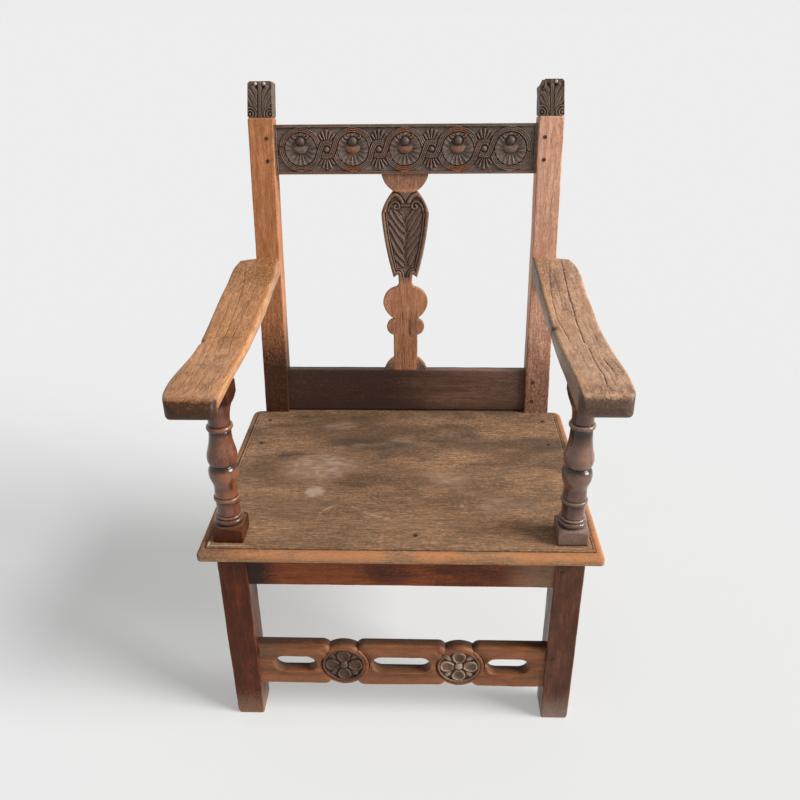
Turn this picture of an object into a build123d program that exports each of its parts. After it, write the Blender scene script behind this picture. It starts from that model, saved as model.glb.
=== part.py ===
from build123d import *
import os
from math import cos, radians, sin, sqrt, tan

os.makedirs("parts", exist_ok=True)

# Joined open armchair: carved back, turned arm supports, pierced front
# stretcher, all mortised, tenoned and pegged.  Seen by someone who stands in
# front of it, +X is to the right; +Y points to the back, +Z up.  The origin is
# on the floor, under the middle of the chair's overall box.  Sizes are in mm.

# ---------------------------------------------------------------- frame sizes
front_width = 648.0  # over the outer faces of the front posts
back_inset = 4.0  # each rear post stands this much further in than the front post
frame_depth = 483.0  # front faces of the front posts to front faces of the rear posts
seat_height = 420.0  # floor to the top of the seat planks
rake = 8.4  # lean of the back above the seat, in degrees
back_length = 702.0  # rear post above the seat, along its raked front face

leg_width = 52.0  # front post, side to side
leg_depth = 56.0  # front post, front to back
post_width = 51.0  # rear post, side to side
post_depth = 44.0  # rear post, front to back

# ---------------------------------------------------------------- joint sizes
tenon_thick = 9.0
tenon_length = 30.0
short_tenon = 25.0  # on the side and rear rails, which share a post
tenon_shoulder = 10.0  # set-in above and below a tenon
tenon_root = 5.0  # how far the arm's tenon is rooted in the arm
cheek_play = 0.1  # gap on each face of a tenon in its mortise
end_play = 1.0  # glue room past the end of a tenon
peg_diameter = 8.0
peg_sides = 8
peg_play = 0.05  # gap round a peg
peg_proud = 0.8  # how far a peg stands out of its face
peg_setback = 14.0  # centre of a peg from the shoulder line
peg_spread = 44.0  # between the two pegs of a wide rail
peg_beyond = 4.0  # how far a peg runs on past the far cheek of its tenon

# ----------------------------------------------------------------- seat sizes
seat_thick = 23.0
seat_side_overhang = 26.0  # past the outer faces of the front posts
seat_nose = 27.0  # overhang of the front edge past the front posts
seat_step = 3.0  # height of the little step that starts the edge moulding
seat_step_inset = 15.0  # step line from the outer edge
seat_nose_round = 9.0  # radius of the moulding's upper curve
seat_under_round = 4.0  # radius of its lower curve
seat_front_corner = 7.0
table_corner = 3.0  # rounding of the step line at the rear corners
plank_joint = 267.0  # joint between the two planks, behind the front posts' faces
plank_skew = 3.5  # the joint isn't square to the chair, in degrees
hole_play = 0.4  # gap round a front post where it passes the plank

rail_height = 72.0  # seat rails
rail_thick = 28.0
front_rail_setback = 3.0
side_rail_setback = 6.0  # from the outer face of the front posts

# ------------------------------------------------------------ stretcher sizes
stretcher_bottom = 79.5
stretcher_height = 96.5
stretcher_thick = 24.0
stretcher_setback = 4.0
slot_bevel = 2.5  # front edges of the slots
stretcher_peg_rise = 7.0  # its pegs sit above the middle
rosette_offset = 109.5  # rosette centres each side of the middle
rosette_radius = 48.0
rosette_dish = 37.0  # radius of the sunk flower
rosette_sink = 3.5
petal_length = 27.0
petal_width = 21.0
petal_rise = 2.5
petal_margin = 1.5
flower_bead = 7.0
bar_end_inset = 24.0  # end of a bar from the rosette's centre line
bar_end_round = 16.0
slot_height = 38.0
slot_rise = 3.0  # slots sit a little above the middle
middle_slot = 112.0
side_slot = 80.0
side_slot_centre = 202.5

# --------------------------------------------------------------- turned parts
# Levels are measured up from the seat.
baluster_height = 291.0  # to the underside of the arm
base_block = 30.0  # square block that stands on the seat
top_block = 21.0  # square block under the arm
shoulder_cut = 6.0  # how far the turner's round cut runs into each block
torus_height = 12.0
torus_radius = 25.5
column_radius = 20.0
ring_level = 74.5  # lower bead
ring_height = 9.0
ring_radius = 22.8
cup_foot_level = 110.0
cup_rim_level = 133.0
cup_radius = 25.5
waist_level = 144.5
waist_radius = 21.5
vase_level = 163.0
vase_radius = 25.4
vase_neck_level = 190.0
vase_neck_radius = 19.8
collar_level = 212.0
collar_height = 10.0
collar_radius = 21.8
collar_neck_radius = 18.5
cap_neck_level = 236.0
cap_radius = 25.0
cap_height = 5.0
arm_pin_radius = 11.0
arm_pin_length = 18.0

# ------------------------------------------------------------------ arm sizes
arm_overhang = 84.0  # front of the arm past the front posts
arm_width = 93.0  # widest, from the inner face
arm_front_width = 80.0
arm_shoulder = 25.0  # length of the curved shoulder beside the rear post
arm_wide_run = 110.0  # widest place, in front of the shoulder
arm_shoulder_slope = 12.0  # how far the shoulder falls forward over its width
arm_back_rise = 60.0  # top of the arm at the rear post, above the arm's bed
arm_back_depth = 40.0
arm_sweep_run = 85.0  # forward of the rear post, where the sweep eases
arm_sweep_rise = 36.0
arm_dip_run = 150.0  # lowest place, behind the front posts' faces
arm_dip_rise = 17.0
arm_belly_run = 190.0  # lowest place of the underside
arm_belly_drop = 4.0
arm_crown_rise = 25.0  # above the front post
arm_roll_radius = 20.0
arm_roll_drop = 9.0
arm_bed_margin = 8.0  # flat bed behind the front post
arm_shoulder_turn = 5.0  # how far the outer edge draws in at the shoulder
arm_roll_corner = 12.0  # round of the roll's outer corner, in plan

# ----------------------------------------------------------------- back sizes
# Heights are measured along the rake, up from the seat.
lower_rail_gap = 4.0
lower_rail_height = 92.0
lower_rail_thick = 24.0
lower_rail_setback = 8.0
crest_gap = 13.0  # from the crest rail up to the grooves of the rear posts
crest_height = 98.0
crest_thick = 28.0
crest_setback = 4.0
crest_border = 7.0
crest_sink = 4.5
crest_pitch = 107.5  # between the rosettes
crest_count = 5
crest_rosette = 33.0
crest_rosette_top = 14.0
crest_rosette_rise = 3.0
crest_boss = 8.5
crest_boss_rise = 11.0
crest_boss_top = 6.0
crest_boss_offset = 9.0  # the bosses sit above the rosettes' centres
strap_radius = 41.5
strap_width = 5.0
link_radius = 13.5
link_bead = 5.5
link_bead_top = 3.0
head_length = 69.5  # carved head of a rear post
head_groove = 2.5
head_bevel = 3.5

splat_thick = 16.0
splat_setback = 10.0
tongue_length = 12.0
tongue_thick = 8.0
tongue_width = 40.0
bowl_half = 49.0
bowl_depth = 34.0
bowl_waist = 25.5
bowl_swell = 4.5  # how far each curve bows out from a straight line
leaf_half = 49.0
leaf_shoulder = 47.0  # widest place of the leafy vase, below its top
leaf_length = 182.0
leaf_swell = 3.6
leaf_tip_half = 26.5
leaf_tip_cut = 4.0
neck_half = 14.0
neck_length = 15.0
heart_half = 48.5
heart_length = 76.0
heart_ear = 18.5
heart_ear_drop = 5.0
heart_shoulder = 41.0  # widest place of the heart, below the neck
heart_swell = 9.0
heart_swell_low = 5.0
heart_waist = 24.0
roll_half = 40.0
roll_length = 36.0
shaft_half = 25.5
foot_half = 46.0
foot_length = 30.0
foot_swell = 4.0

nail_shank = 1.7  # radius
nail_head = 3.6  # radius
nail_head_thick = 1.6
nail_sink = 0.4  # the heads lie a little below the seat
nail_head_play = 0.2
nail_length = 45.0
nail_rear_run = 40.0  # rear nails from the planks' back edge
nail_joint_run = 76.0  # next nails, behind the joint of the planks
nail_front_offset = 28.0  # the front nail isn't quite in the middle
nail_front_run = 26.0  # front nail, behind the front posts' faces

# ------------------------------------------------------------ places worked out
lean = radians(rake)
back_reach = back_length * sin(lean) + post_depth * cos(lean)
overall_depth = arm_overhang + frame_depth + back_reach
front_y = arm_overhang - overall_depth / 2
leg_back_y = front_y + leg_depth
leg_mid_y = front_y + leg_depth / 2
back_y = front_y + frame_depth

leg_outer = front_width / 2
leg_inner = leg_outer - leg_width
leg_mid = leg_outer - leg_width / 2
post_outer = leg_outer - back_inset
post_inner = post_outer - post_width
post_mid = post_outer - post_width / 2

rail_top = seat_height - seat_thick
rail_mid = rail_top - rail_height / 2
rail_tenon = rail_height - 2 * tenon_shoulder
front_rail_y = front_y + front_rail_setback + rail_thick / 2
side_rail_x = leg_outer - side_rail_setback - rail_thick / 2
rear_rail_y = back_y + post_depth / 2

stretcher_mid = stretcher_bottom + stretcher_height / 2
stretcher_y = front_y + stretcher_setback + stretcher_thick / 2
stretcher_tenon = stretcher_height - 2 * tenon_shoulder

arm_bed = seat_height + baluster_height
arm_back_top = arm_bed + arm_back_rise
arm_back_low = arm_back_top - arm_back_depth
arm_tenon = arm_back_depth - tenon_shoulder
arm_tenon_up = (arm_back_top - arm_back_depth / 2 - seat_height) / cos(lean)

lower_rail_top = lower_rail_gap + lower_rail_height
lower_rail_mid = lower_rail_gap + lower_rail_height / 2
lower_rail_out = -lower_rail_setback - lower_rail_thick / 2
lower_tenon = lower_rail_height - 2 * tenon_shoulder
crest_top = back_length - head_length - crest_gap
crest_bottom = crest_top - crest_height
crest_mid = crest_top - crest_height / 2
crest_out = -crest_setback - crest_thick / 2
crest_tenon = crest_height - 2 * tenon_shoulder
splat_out = -splat_setback - splat_thick / 2

# Raked plane on the front faces of the rear posts: x across, y up the back,
# z towards the sitter, with its origin at seat level.
back_plane = Plane(
    origin=(0, back_y, seat_height), x_dir=(1, 0, 0), z_dir=(0, -cos(lean), sin(lean))
)
# Upright planes on the front and on the rear of the frame.
front_plane = Plane(origin=(0, front_y, 0), x_dir=(1, 0, 0), z_dir=(0, -1, 0))
rear_plane = Plane(origin=(0, back_y + post_depth, 0), x_dir=(-1, 0, 0), z_dir=(0, 1, 0))
# Turns a place so that its outward direction points to the right of the chair.
to_the_right = Location((0, 0, 0), (0, 90, 0))

# Places of the pegs on the right-hand posts: on the face that each is driven
# into, with z out of that face, and its depth to just past the tenon.
peg_across = leg_inner + peg_setback
post_peg_across = post_inner + peg_setback
past_tenon = tenon_thick / 2 + peg_beyond
front_rail_peg = front_plane.location * Location((peg_across, rail_mid, 0))
front_rail_peg_deep = front_rail_setback + rail_thick / 2 + past_tenon
stretcher_peg_mid = stretcher_mid + stretcher_peg_rise
stretcher_pegs = [
    front_plane.location * Location((peg_across, stretcher_peg_mid + rise, 0))
    for rise in (-peg_spread / 2, peg_spread / 2)
]
stretcher_peg_deep = stretcher_setback + stretcher_thick / 2 + past_tenon
leg_side_peg = Location((leg_outer, leg_back_y - peg_setback, rail_mid)) * to_the_right
leg_side_peg_deep = leg_outer - side_rail_x + past_tenon
post_side_peg = Location((post_outer, back_y + peg_setback, rail_mid)) * to_the_right
post_side_peg_deep = post_outer - side_rail_x + past_tenon
rear_rail_peg = rear_plane.location * Location((-post_peg_across, rail_mid, 0))
rear_rail_peg_deep = post_depth / 2 + past_tenon
arm_peg = back_plane.location * Location((post_outer, arm_tenon_up, -peg_setback)) * to_the_right
arm_peg_deep = post_width / 2 + past_tenon
lower_rail_pegs = [
    back_plane.location * Location((post_peg_across, lower_rail_mid + rise, 0))
    for rise in (-peg_spread / 2, peg_spread / 2)
]
lower_rail_peg_deep = past_tenon - lower_rail_out
crest_pegs_at = [
    back_plane.location * Location((post_peg_across, crest_mid + rise, 0))
    for rise in (-peg_spread / 2, peg_spread / 2)
]
crest_peg_deep = past_tenon - crest_out

# Nails through the planks into the front rail and the side rails.
nail_bite = nail_length + nail_sink - seat_thick
plank_joint_y = front_y + plank_joint
nail_places = [(nail_front_offset, front_y + nail_front_run)] + [
    (side * side_rail_x, y)
    for side in (-1, 1)
    for y in (plank_joint_y + nail_joint_run, back_y - nail_rear_run)
]


def mirrored(place):
    """Gives the same place on the other side of the chair, for a round hole."""
    x, y, z = place.position
    turn, tilt, spin = place.orientation
    return Location((-x, y, z), (turn, -tilt, -spin))


def bow(start, end, swell):
    """Draws an arc that bows out to the left of the way from start to end."""
    run, rise = end[0] - start[0], end[1] - start[1]
    span = sqrt(run**2 + rise**2)
    middle = ((start[0] + end[0]) / 2, (start[1] + end[1]) / 2)
    top = (middle[0] - swell * rise / span, middle[1] + swell * run / span)
    ThreePointArc(start, top, end)


def bead(neck, crown, low, high):
    """Draws the half-round of a turned bead between two levels of a post."""
    Spline((neck, low), (crown, (low + high) / 2), (neck, high), tangents=[(1, 0.4), (-1, 0.4)])


def drill(place, deep):
    """Drills a peg hole from a face inwards."""
    with Locations(place * Location((0, 0, -deep / 2))):
        Cylinder(peg_diameter / 2 + peg_play, deep, mode=Mode.SUBTRACT)


def drive(place, deep):
    """Adds a peg, riven to eight sides, that stands a little proud of its face."""
    with BuildSketch(Plane(place).offset(peg_proud)) as peg_end:
        RegularPolygon(peg_diameter / 2, peg_sides)
    extrude(peg_end.sketch, amount=-deep - peg_proud)


def finish(part, name):
    """Labels a finished piece and writes it to its own file."""
    part.label = name
    export_step(part, f"parts/{name}.step")


# ---------------------------------------------------------------- front posts
base_top = seat_height + base_block
torus_top = base_top + torus_height
ring_bottom = seat_height + ring_level
ring_top = ring_bottom + ring_height
collar_bottom = seat_height + collar_level
collar_top = collar_bottom + collar_height
cap_top = arm_bed - top_block
cap_bottom = cap_top - cap_height
pin_top = arm_bed + arm_pin_length
block_corner = sqrt(leg_width**2 + leg_depth**2) / 2
post_axis = Axis((leg_mid, leg_mid_y, 0), (0, 0, 1))
post_plane = Plane(origin=(leg_mid, leg_mid_y, 0), x_dir=(1, 0, 0), z_dir=(0, -1, 0))

with BuildPart() as front_post_right:
    # square stock for the leg and for the block under the arm
    with BuildSketch(Plane.XY):
        with Locations((leg_mid, leg_mid_y)):
            Rectangle(leg_width, leg_depth)
    extrude(amount=base_top)
    with BuildSketch(Plane.XY.offset(cap_top)):
        with Locations((leg_mid, leg_mid_y)):
            Rectangle(leg_width, leg_depth)
    extrude(amount=top_block)
    # the turner's round shoulders, where square becomes round
    with BuildSketch(post_plane):
        with BuildLine():
            Line((0, 0), (block_corner, 0))
            Line((block_corner, 0), (block_corner, base_top - shoulder_cut))
            Line((block_corner, base_top - shoulder_cut), (torus_radius, base_top))
            Line((torus_radius, base_top), (torus_radius, cap_top))
            Line((torus_radius, cap_top), (block_corner, cap_top + shoulder_cut))
            Line((block_corner, cap_top + shoulder_cut), (block_corner, arm_bed))
            Line((block_corner, arm_bed), (0, arm_bed))
            Line((0, arm_bed), (0, 0))
        make_face()
    revolve(axis=post_axis, mode=Mode.INTERSECT)
    # everything turned between the blocks, and the pin that enters the arm
    with BuildSketch(post_plane):
        with BuildLine():
            Line((0, base_top), (column_radius, base_top))
            bead(column_radius, torus_radius, base_top, torus_top)
            Line((column_radius, torus_top), (column_radius, ring_bottom))
            bead(column_radius, ring_radius, ring_bottom, ring_top)
            Line((column_radius, ring_top), (column_radius, seat_height + cup_foot_level))
            Spline(
                (column_radius, seat_height + cup_foot_level),
                (cup_radius, seat_height + cup_rim_level),
                (waist_radius, seat_height + waist_level),
                tangents=[(0, 1), (-1, 0.5)],
            )
            Spline(
                (waist_radius, seat_height + waist_level),
                (vase_radius, seat_height + vase_level),
                (vase_neck_radius, seat_height + vase_neck_level),
                (collar_neck_radius, collar_bottom),
                tangents=[(1, 0.8), (0, 1)],
            )
            bead(collar_neck_radius, collar_radius, collar_bottom, collar_top)
            Line(
                (collar_neck_radius, collar_top),
                (collar_neck_radius, seat_height + cap_neck_level),
            )
            Spline(
                (collar_neck_radius, seat_height + cap_neck_level),
                (cap_radius, cap_bottom),
                tangents=[(0, 1), (1, 0.4)],
            )
            Line((cap_radius, cap_bottom), (cap_radius, cap_top))
            Line((cap_radius, cap_top), (arm_pin_radius, cap_top))
            Line((arm_pin_radius, cap_top), (arm_pin_radius, pin_top))
            Line((arm_pin_radius, pin_top), (0, pin_top))
            Line((0, pin_top), (0, base_top))
        make_face()
    revolve(axis=post_axis)
    # mortises for the front rail, the side rail and the stretcher
    deep = tenon_length + end_play
    with Locations((leg_inner + deep / 2, front_rail_y, rail_mid)):
        Box(
            deep, tenon_thick + 2 * cheek_play, rail_tenon + 2 * cheek_play, mode=Mode.SUBTRACT
        )
    with Locations((leg_inner + deep / 2, stretcher_y, stretcher_mid)):
        Box(
            deep,
            tenon_thick + 2 * cheek_play,
            stretcher_tenon + 2 * cheek_play,
            mode=Mode.SUBTRACT,
        )
    short_deep = short_tenon + end_play
    with Locations((side_rail_x, leg_back_y - short_deep / 2, rail_mid)):
        Box(
            tenon_thick + 2 * cheek_play,
            short_deep,
            rail_tenon + 2 * cheek_play,
            mode=Mode.SUBTRACT,
        )
    drill(front_rail_peg, front_rail_peg_deep)
    drill(leg_side_peg, leg_side_peg_deep)
    for place in stretcher_pegs:
        drill(place, stretcher_peg_deep)
finish(front_post_right.part, "front_post_right")

with BuildPart() as front_post_left:
    mirror(front_post_right.part, about=Plane.YZ)
finish(front_post_left.part, "front_post_left")

# ----------------------------------------------------------------- rear posts
top_front = back_plane.from_local_coords(Vector(0, back_length, 0))
top_rear = back_plane.from_local_coords(Vector(0, back_length, -post_depth))
knee_drop = post_depth * tan(lean / 2)
head_plane = Plane(
    origin=back_plane.from_local_coords(
        Vector(post_mid, back_length - head_length, -post_depth / 2)
    ),
    x_dir=(1, 0, 0),
    z_dir=(0, sin(lean), cos(lean)),
)

with BuildPart() as rear_post_right:
    # one length of wood: an upright foot and a raked upper part
    with BuildSketch(Plane.YZ.offset(post_inner)):
        with BuildLine():
            Polyline(
                (back_y, 0),
                (back_y, seat_height),
                (top_front.Y, top_front.Z),
                (top_rear.Y, top_rear.Z),
                (back_y + post_depth, seat_height - knee_drop),
                (back_y + post_depth, 0),
                close=True,
            )
        make_face()
    extrude(amount=post_width)
    # a groove all round sets off the carved head, which has a bevelled top
    top_edges = edges().filter_by(lambda e: (e @ 0.5).Z > top_rear.Z - head_bevel)
    chamfer(top_edges, head_bevel)
    with BuildSketch(head_plane):
        Rectangle(2 * post_width, 2 * post_depth)
        Rectangle(
            post_width - 2 * head_groove, post_depth - 2 * head_groove, mode=Mode.SUBTRACT
        )
    extrude(amount=2 * head_groove, mode=Mode.SUBTRACT)
    # mortises: crest rail, lower back rail, arm, side rail, rear rail
    deep = tenon_length + end_play
    across = post_inner + deep / 2
    for up, out, high in (
        (crest_mid, crest_out, crest_tenon),
        (lower_rail_mid, lower_rail_out, lower_tenon),
    ):
        with Locations(back_plane.location * Location((across, up, out))):
            Box(
                deep, high + 2 * cheek_play, tenon_thick + 2 * cheek_play, mode=Mode.SUBTRACT
            )
    with Locations(back_plane.location * Location((post_mid, arm_tenon_up, -deep / 2))):
        Box(
            tenon_thick + 2 * cheek_play, arm_tenon + 2 * cheek_play, deep, mode=Mode.SUBTRACT
        )
    short_deep = short_tenon + end_play
    with Locations((side_rail_x, back_y + short_deep / 2, rail_mid)):
        Box(
            tenon_thick + 2 * cheek_play,
            short_deep,
            rail_tenon + 2 * cheek_play,
            mode=Mode.SUBTRACT,
        )
    with Locations((post_inner + short_deep / 2, rear_rail_y, rail_mid)):
        Box(
            short_deep,
            tenon_thick + 2 * cheek_play,
            rail_tenon + 2 * cheek_play,
            mode=Mode.SUBTRACT,
        )
    drill(post_side_peg, post_side_peg_deep)
    drill(rear_rail_peg, rear_rail_peg_deep)
    drill(arm_peg, arm_peg_deep)
    for place in lower_rail_pegs:
        drill(place, lower_rail_peg_deep)
    for place in crest_pegs_at:
        drill(place, crest_peg_deep)
finish(rear_post_right.part, "rear_post_right")

with BuildPart() as rear_post_left:
    mirror(rear_post_right.part, about=Plane.YZ)
finish(rear_post_left.part, "rear_post_left")

# ----------------------------------------------------------------- seat rails
with BuildPart() as front_seat_rail:
    with Locations((0, front_rail_y, rail_mid)):
        Box(2 * leg_inner, rail_thick, rail_height)
        Box(2 * (leg_inner + tenon_length), tenon_thick, rail_tenon)
    for side in (-1, 1):
        drill(front_plane.location * Location((side * peg_across, rail_mid, 0)), front_rail_peg_deep)
    with Locations((nail_front_offset, front_y + nail_front_run, rail_top)):
        Cylinder(nail_shank + peg_play, 2 * nail_bite, mode=Mode.SUBTRACT)
finish(front_seat_rail.part, "front_seat_rail")

side_rail_length = back_y - leg_back_y
with BuildPart() as side_seat_rail_right:
    with Locations((side_rail_x, (leg_back_y + back_y) / 2, rail_mid)):
        Box(rail_thick, side_rail_length, rail_height)
        Box(tenon_thick, side_rail_length + 2 * short_tenon, rail_tenon)
    drill(leg_side_peg, leg_side_peg_deep)
    drill(post_side_peg, post_side_peg_deep)
    for x, y in nail_places:
        if x > nail_front_offset:
            with Locations((x, y, rail_top)):
                Cylinder(nail_shank + peg_play, 2 * nail_bite, mode=Mode.SUBTRACT)
finish(side_seat_rail_right.part, "side_seat_rail_right")

with BuildPart() as side_seat_rail_left:
    mirror(side_seat_rail_right.part, about=Plane.YZ)
finish(side_seat_rail_left.part, "side_seat_rail_left")

with BuildPart() as rear_seat_rail:
    with Locations((0, rear_rail_y, rail_mid)):
        Box(2 * post_inner, rail_thick, rail_height)
        Box(2 * (post_inner + short_tenon), tenon_thick, rail_tenon)
    for side in (-1, 1):
        drill(
            rear_plane.location * Location((side * post_peg_across, rail_mid, 0)),
            rear_rail_peg_deep,
        )
finish(rear_seat_rail.part, "rear_seat_rail")

# ---------------------------------------------------------------- seat planks
seat_half = leg_outer + seat_side_overhang
table_half = seat_half - seat_step_inset
seat_front_y = front_y - seat_nose
# the moulding's step runs on in line with the front faces of the rear posts
seat_end_y = back_y + seat_step_inset
seat_back_corner = seat_step_inset + table_corner  # where the sides turn in
seat_corner_y = seat_end_y - seat_back_corner
notch_x = post_outer + hole_play
plank_cut = Plane(
    origin=(0, plank_joint_y, seat_height),
    x_dir=(0, 0, 1),
    z_dir=(sin(radians(plank_skew)), cos(radians(plank_skew)), 0),
)


def outer_edges(face):
    # the free edges of the seat: all but those at the rear posts and between them
    return face.edges().filter_by(
        lambda e: (e @ 0.5).Y < back_y - 1 or abs((e @ 0.5).X) > notch_x + 1
    )


with BuildPart() as seat_board:
    # the lower layer has the moulded edge; its back end is notched round the
    # rear posts, let in between them, and lies on the rear rail
    with BuildSketch(Plane.XY.offset(rail_top)):
        with BuildLine():
            Line((0, seat_front_y), (seat_half, seat_front_y))
            Line((seat_half, seat_front_y), (seat_half, seat_corner_y))
            TangentArc(
                (seat_half, seat_corner_y),
                (seat_half - seat_back_corner, seat_end_y),
                tangent=(0, 1),
            )
            Line((seat_half - seat_back_corner, seat_end_y), (notch_x, seat_end_y))
            Line((notch_x, seat_end_y), (notch_x, back_y))
            Line((notch_x, back_y), (post_inner - hole_play, back_y))
            Line((post_inner - hole_play, back_y), (post_inner - hole_play, rear_rail_y))
            Line((post_inner - hole_play, rear_rail_y), (0, rear_rail_y))
            mirror(about=Plane.YZ)
        make_face()
    extrude(amount=seat_thick - seat_step)
    front_corners = edges().filter_by(Axis.Z).group_by(Axis.Y)[0]
    fillet(front_corners, seat_front_corner)
    fillet(outer_edges(faces().sort_by(Axis.Z)[-1]), seat_nose_round)
    fillet(outer_edges(faces().sort_by(Axis.Z)[0]), seat_under_round)
    # the raised table of the seat
    with BuildSketch(Plane.XY.offset(seat_height - seat_step)):
        with BuildLine():
            Line((0, seat_front_y + seat_step_inset), (table_half, seat_front_y + seat_step_inset))
            Line((table_half, seat_front_y + seat_step_inset), (table_half, seat_corner_y))
            TangentArc(
                (table_half, seat_corner_y), (seat_half - seat_back_corner, back_y), tangent=(0, 1)
            )
            Line((seat_half - seat_back_corner, back_y), (post_inner - hole_play, back_y))
            Line((post_inner - hole_play, back_y), (post_inner - hole_play, rear_rail_y))
            Line((post_inner - hole_play, rear_rail_y), (0, rear_rail_y))
            mirror(about=Plane.YZ)
        make_face()
    extrude(amount=seat_step)
    # holes for the front posts and for the nails
    with BuildSketch(Plane.XY.offset(seat_height)):
        with Locations((leg_mid, leg_mid_y), (-leg_mid, leg_mid_y)):
            Rectangle(leg_width + 2 * hole_play, leg_depth + 2 * hole_play)
        with Locations(nail_places):
            Circle(nail_shank + peg_play)
    extrude(amount=-seat_thick, mode=Mode.SUBTRACT)
    with BuildSketch(Plane.XY.offset(seat_height)):
        with Locations(nail_places):
            Circle(nail_head + nail_head_play)
    extrude(amount=-nail_sink - nail_head_thick, mode=Mode.SUBTRACT)

with BuildPart() as seat_plank_front:
    add(seat_board.part)
    split(bisect_by=plank_cut, keep=Keep.BOTTOM)
finish(seat_plank_front.part, "seat_plank_front")

with BuildPart() as seat_plank_rear:
    add(seat_board.part)
    split(bisect_by=plank_cut, keep=Keep.TOP)
finish(seat_plank_rear.part, "seat_plank_rear")

# ------------------------------------------------------------ front stretcher
stretcher_front = front_plane.offset(-stretcher_setback)
bar_end = rosette_offset - bar_end_inset
side_bar_start = rosette_offset + bar_end_inset
side_bar_round = (side_bar_start + bar_end_round, stretcher_height / 2 - bar_end_round)
flower_radius = rosette_dish - petal_length / 2 - petal_margin

with BuildPart() as front_stretcher:
    # strap-like bars that end at two round flowers
    with BuildSketch(stretcher_front):
        with Locations((0, stretcher_mid)):
            RectangleRounded(2 * bar_end, stretcher_height, bar_end_round)
        for side in (-1, 1):
            with Locations((side * (side_bar_start + leg_inner) / 2, stretcher_mid)):
                Rectangle(leg_inner - side_bar_start, stretcher_height)
        inner_corners = vertices().filter_by(
            lambda v: abs(abs(v.X) - side_bar_start) < bar_end_inset / 2
        )
        fillet(inner_corners, bar_end_round)
        with Locations((-rosette_offset, stretcher_mid), (rosette_offset, stretcher_mid)):
            Circle(rosette_radius)
        with Locations((0, stretcher_mid + slot_rise)):
            SlotOverall(middle_slot, slot_height, mode=Mode.SUBTRACT)
        with Locations(
            (-side_slot_centre, stretcher_mid + slot_rise),
            (side_slot_centre, stretcher_mid + slot_rise),
        ):
            SlotOverall(side_slot, slot_height, mode=Mode.SUBTRACT)
    extrude(amount=-stretcher_thick)
    for slot_edge in faces().sort_by(Axis.Y)[0].inner_wires():
        chamfer(slot_edge.edges(), slot_bevel)
    # each flower lies in a round sinking: four petals round a bead
    for side in (-1, 1):
        with BuildSketch(stretcher_front):
            with Locations((side * rosette_offset, stretcher_mid)):
                Circle(rosette_dish)
        extrude(amount=-rosette_sink, mode=Mode.SUBTRACT)
        with BuildSketch(stretcher_front.offset(-rosette_sink)):
            with Locations((side * rosette_offset, stretcher_mid)):
                with PolarLocations(flower_radius, 4):
                    Ellipse(petal_length / 2, petal_width / 2)
        extrude(amount=petal_rise)
        with BuildSketch(stretcher_front.offset(-rosette_sink)):
            with Locations((side * rosette_offset, stretcher_mid)):
                Circle(flower_bead)
        extrude(amount=rosette_sink)
    for side in (-1, 1):
        tenon_mid = side * (leg_inner + tenon_length / 2)
        with Locations((tenon_mid, stretcher_y, stretcher_mid)):
            Box(tenon_length, tenon_thick, stretcher_tenon)
    for place in stretcher_pegs:
        drill(place, stretcher_peg_deep)
        drill(mirrored(place), stretcher_peg_deep)
finish(front_stretcher.part, "front_stretcher")

# ----------------------------------------------------------------------- arms
arm_outer = post_inner + arm_width
arm_back_y = back_y + (arm_back_top - seat_height) * tan(lean)
arm_low_y = back_y + (arm_back_low - seat_height) * tan(lean)
arm_front_y = front_y - arm_overhang
roll_y = arm_front_y + arm_roll_radius
roll_z = arm_bed + arm_roll_radius - arm_roll_drop
roll_meets_bed = roll_y + sqrt(arm_roll_radius**2 - (roll_z - arm_bed) ** 2)
shoulder_y = arm_back_y - arm_shoulder_slope

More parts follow.
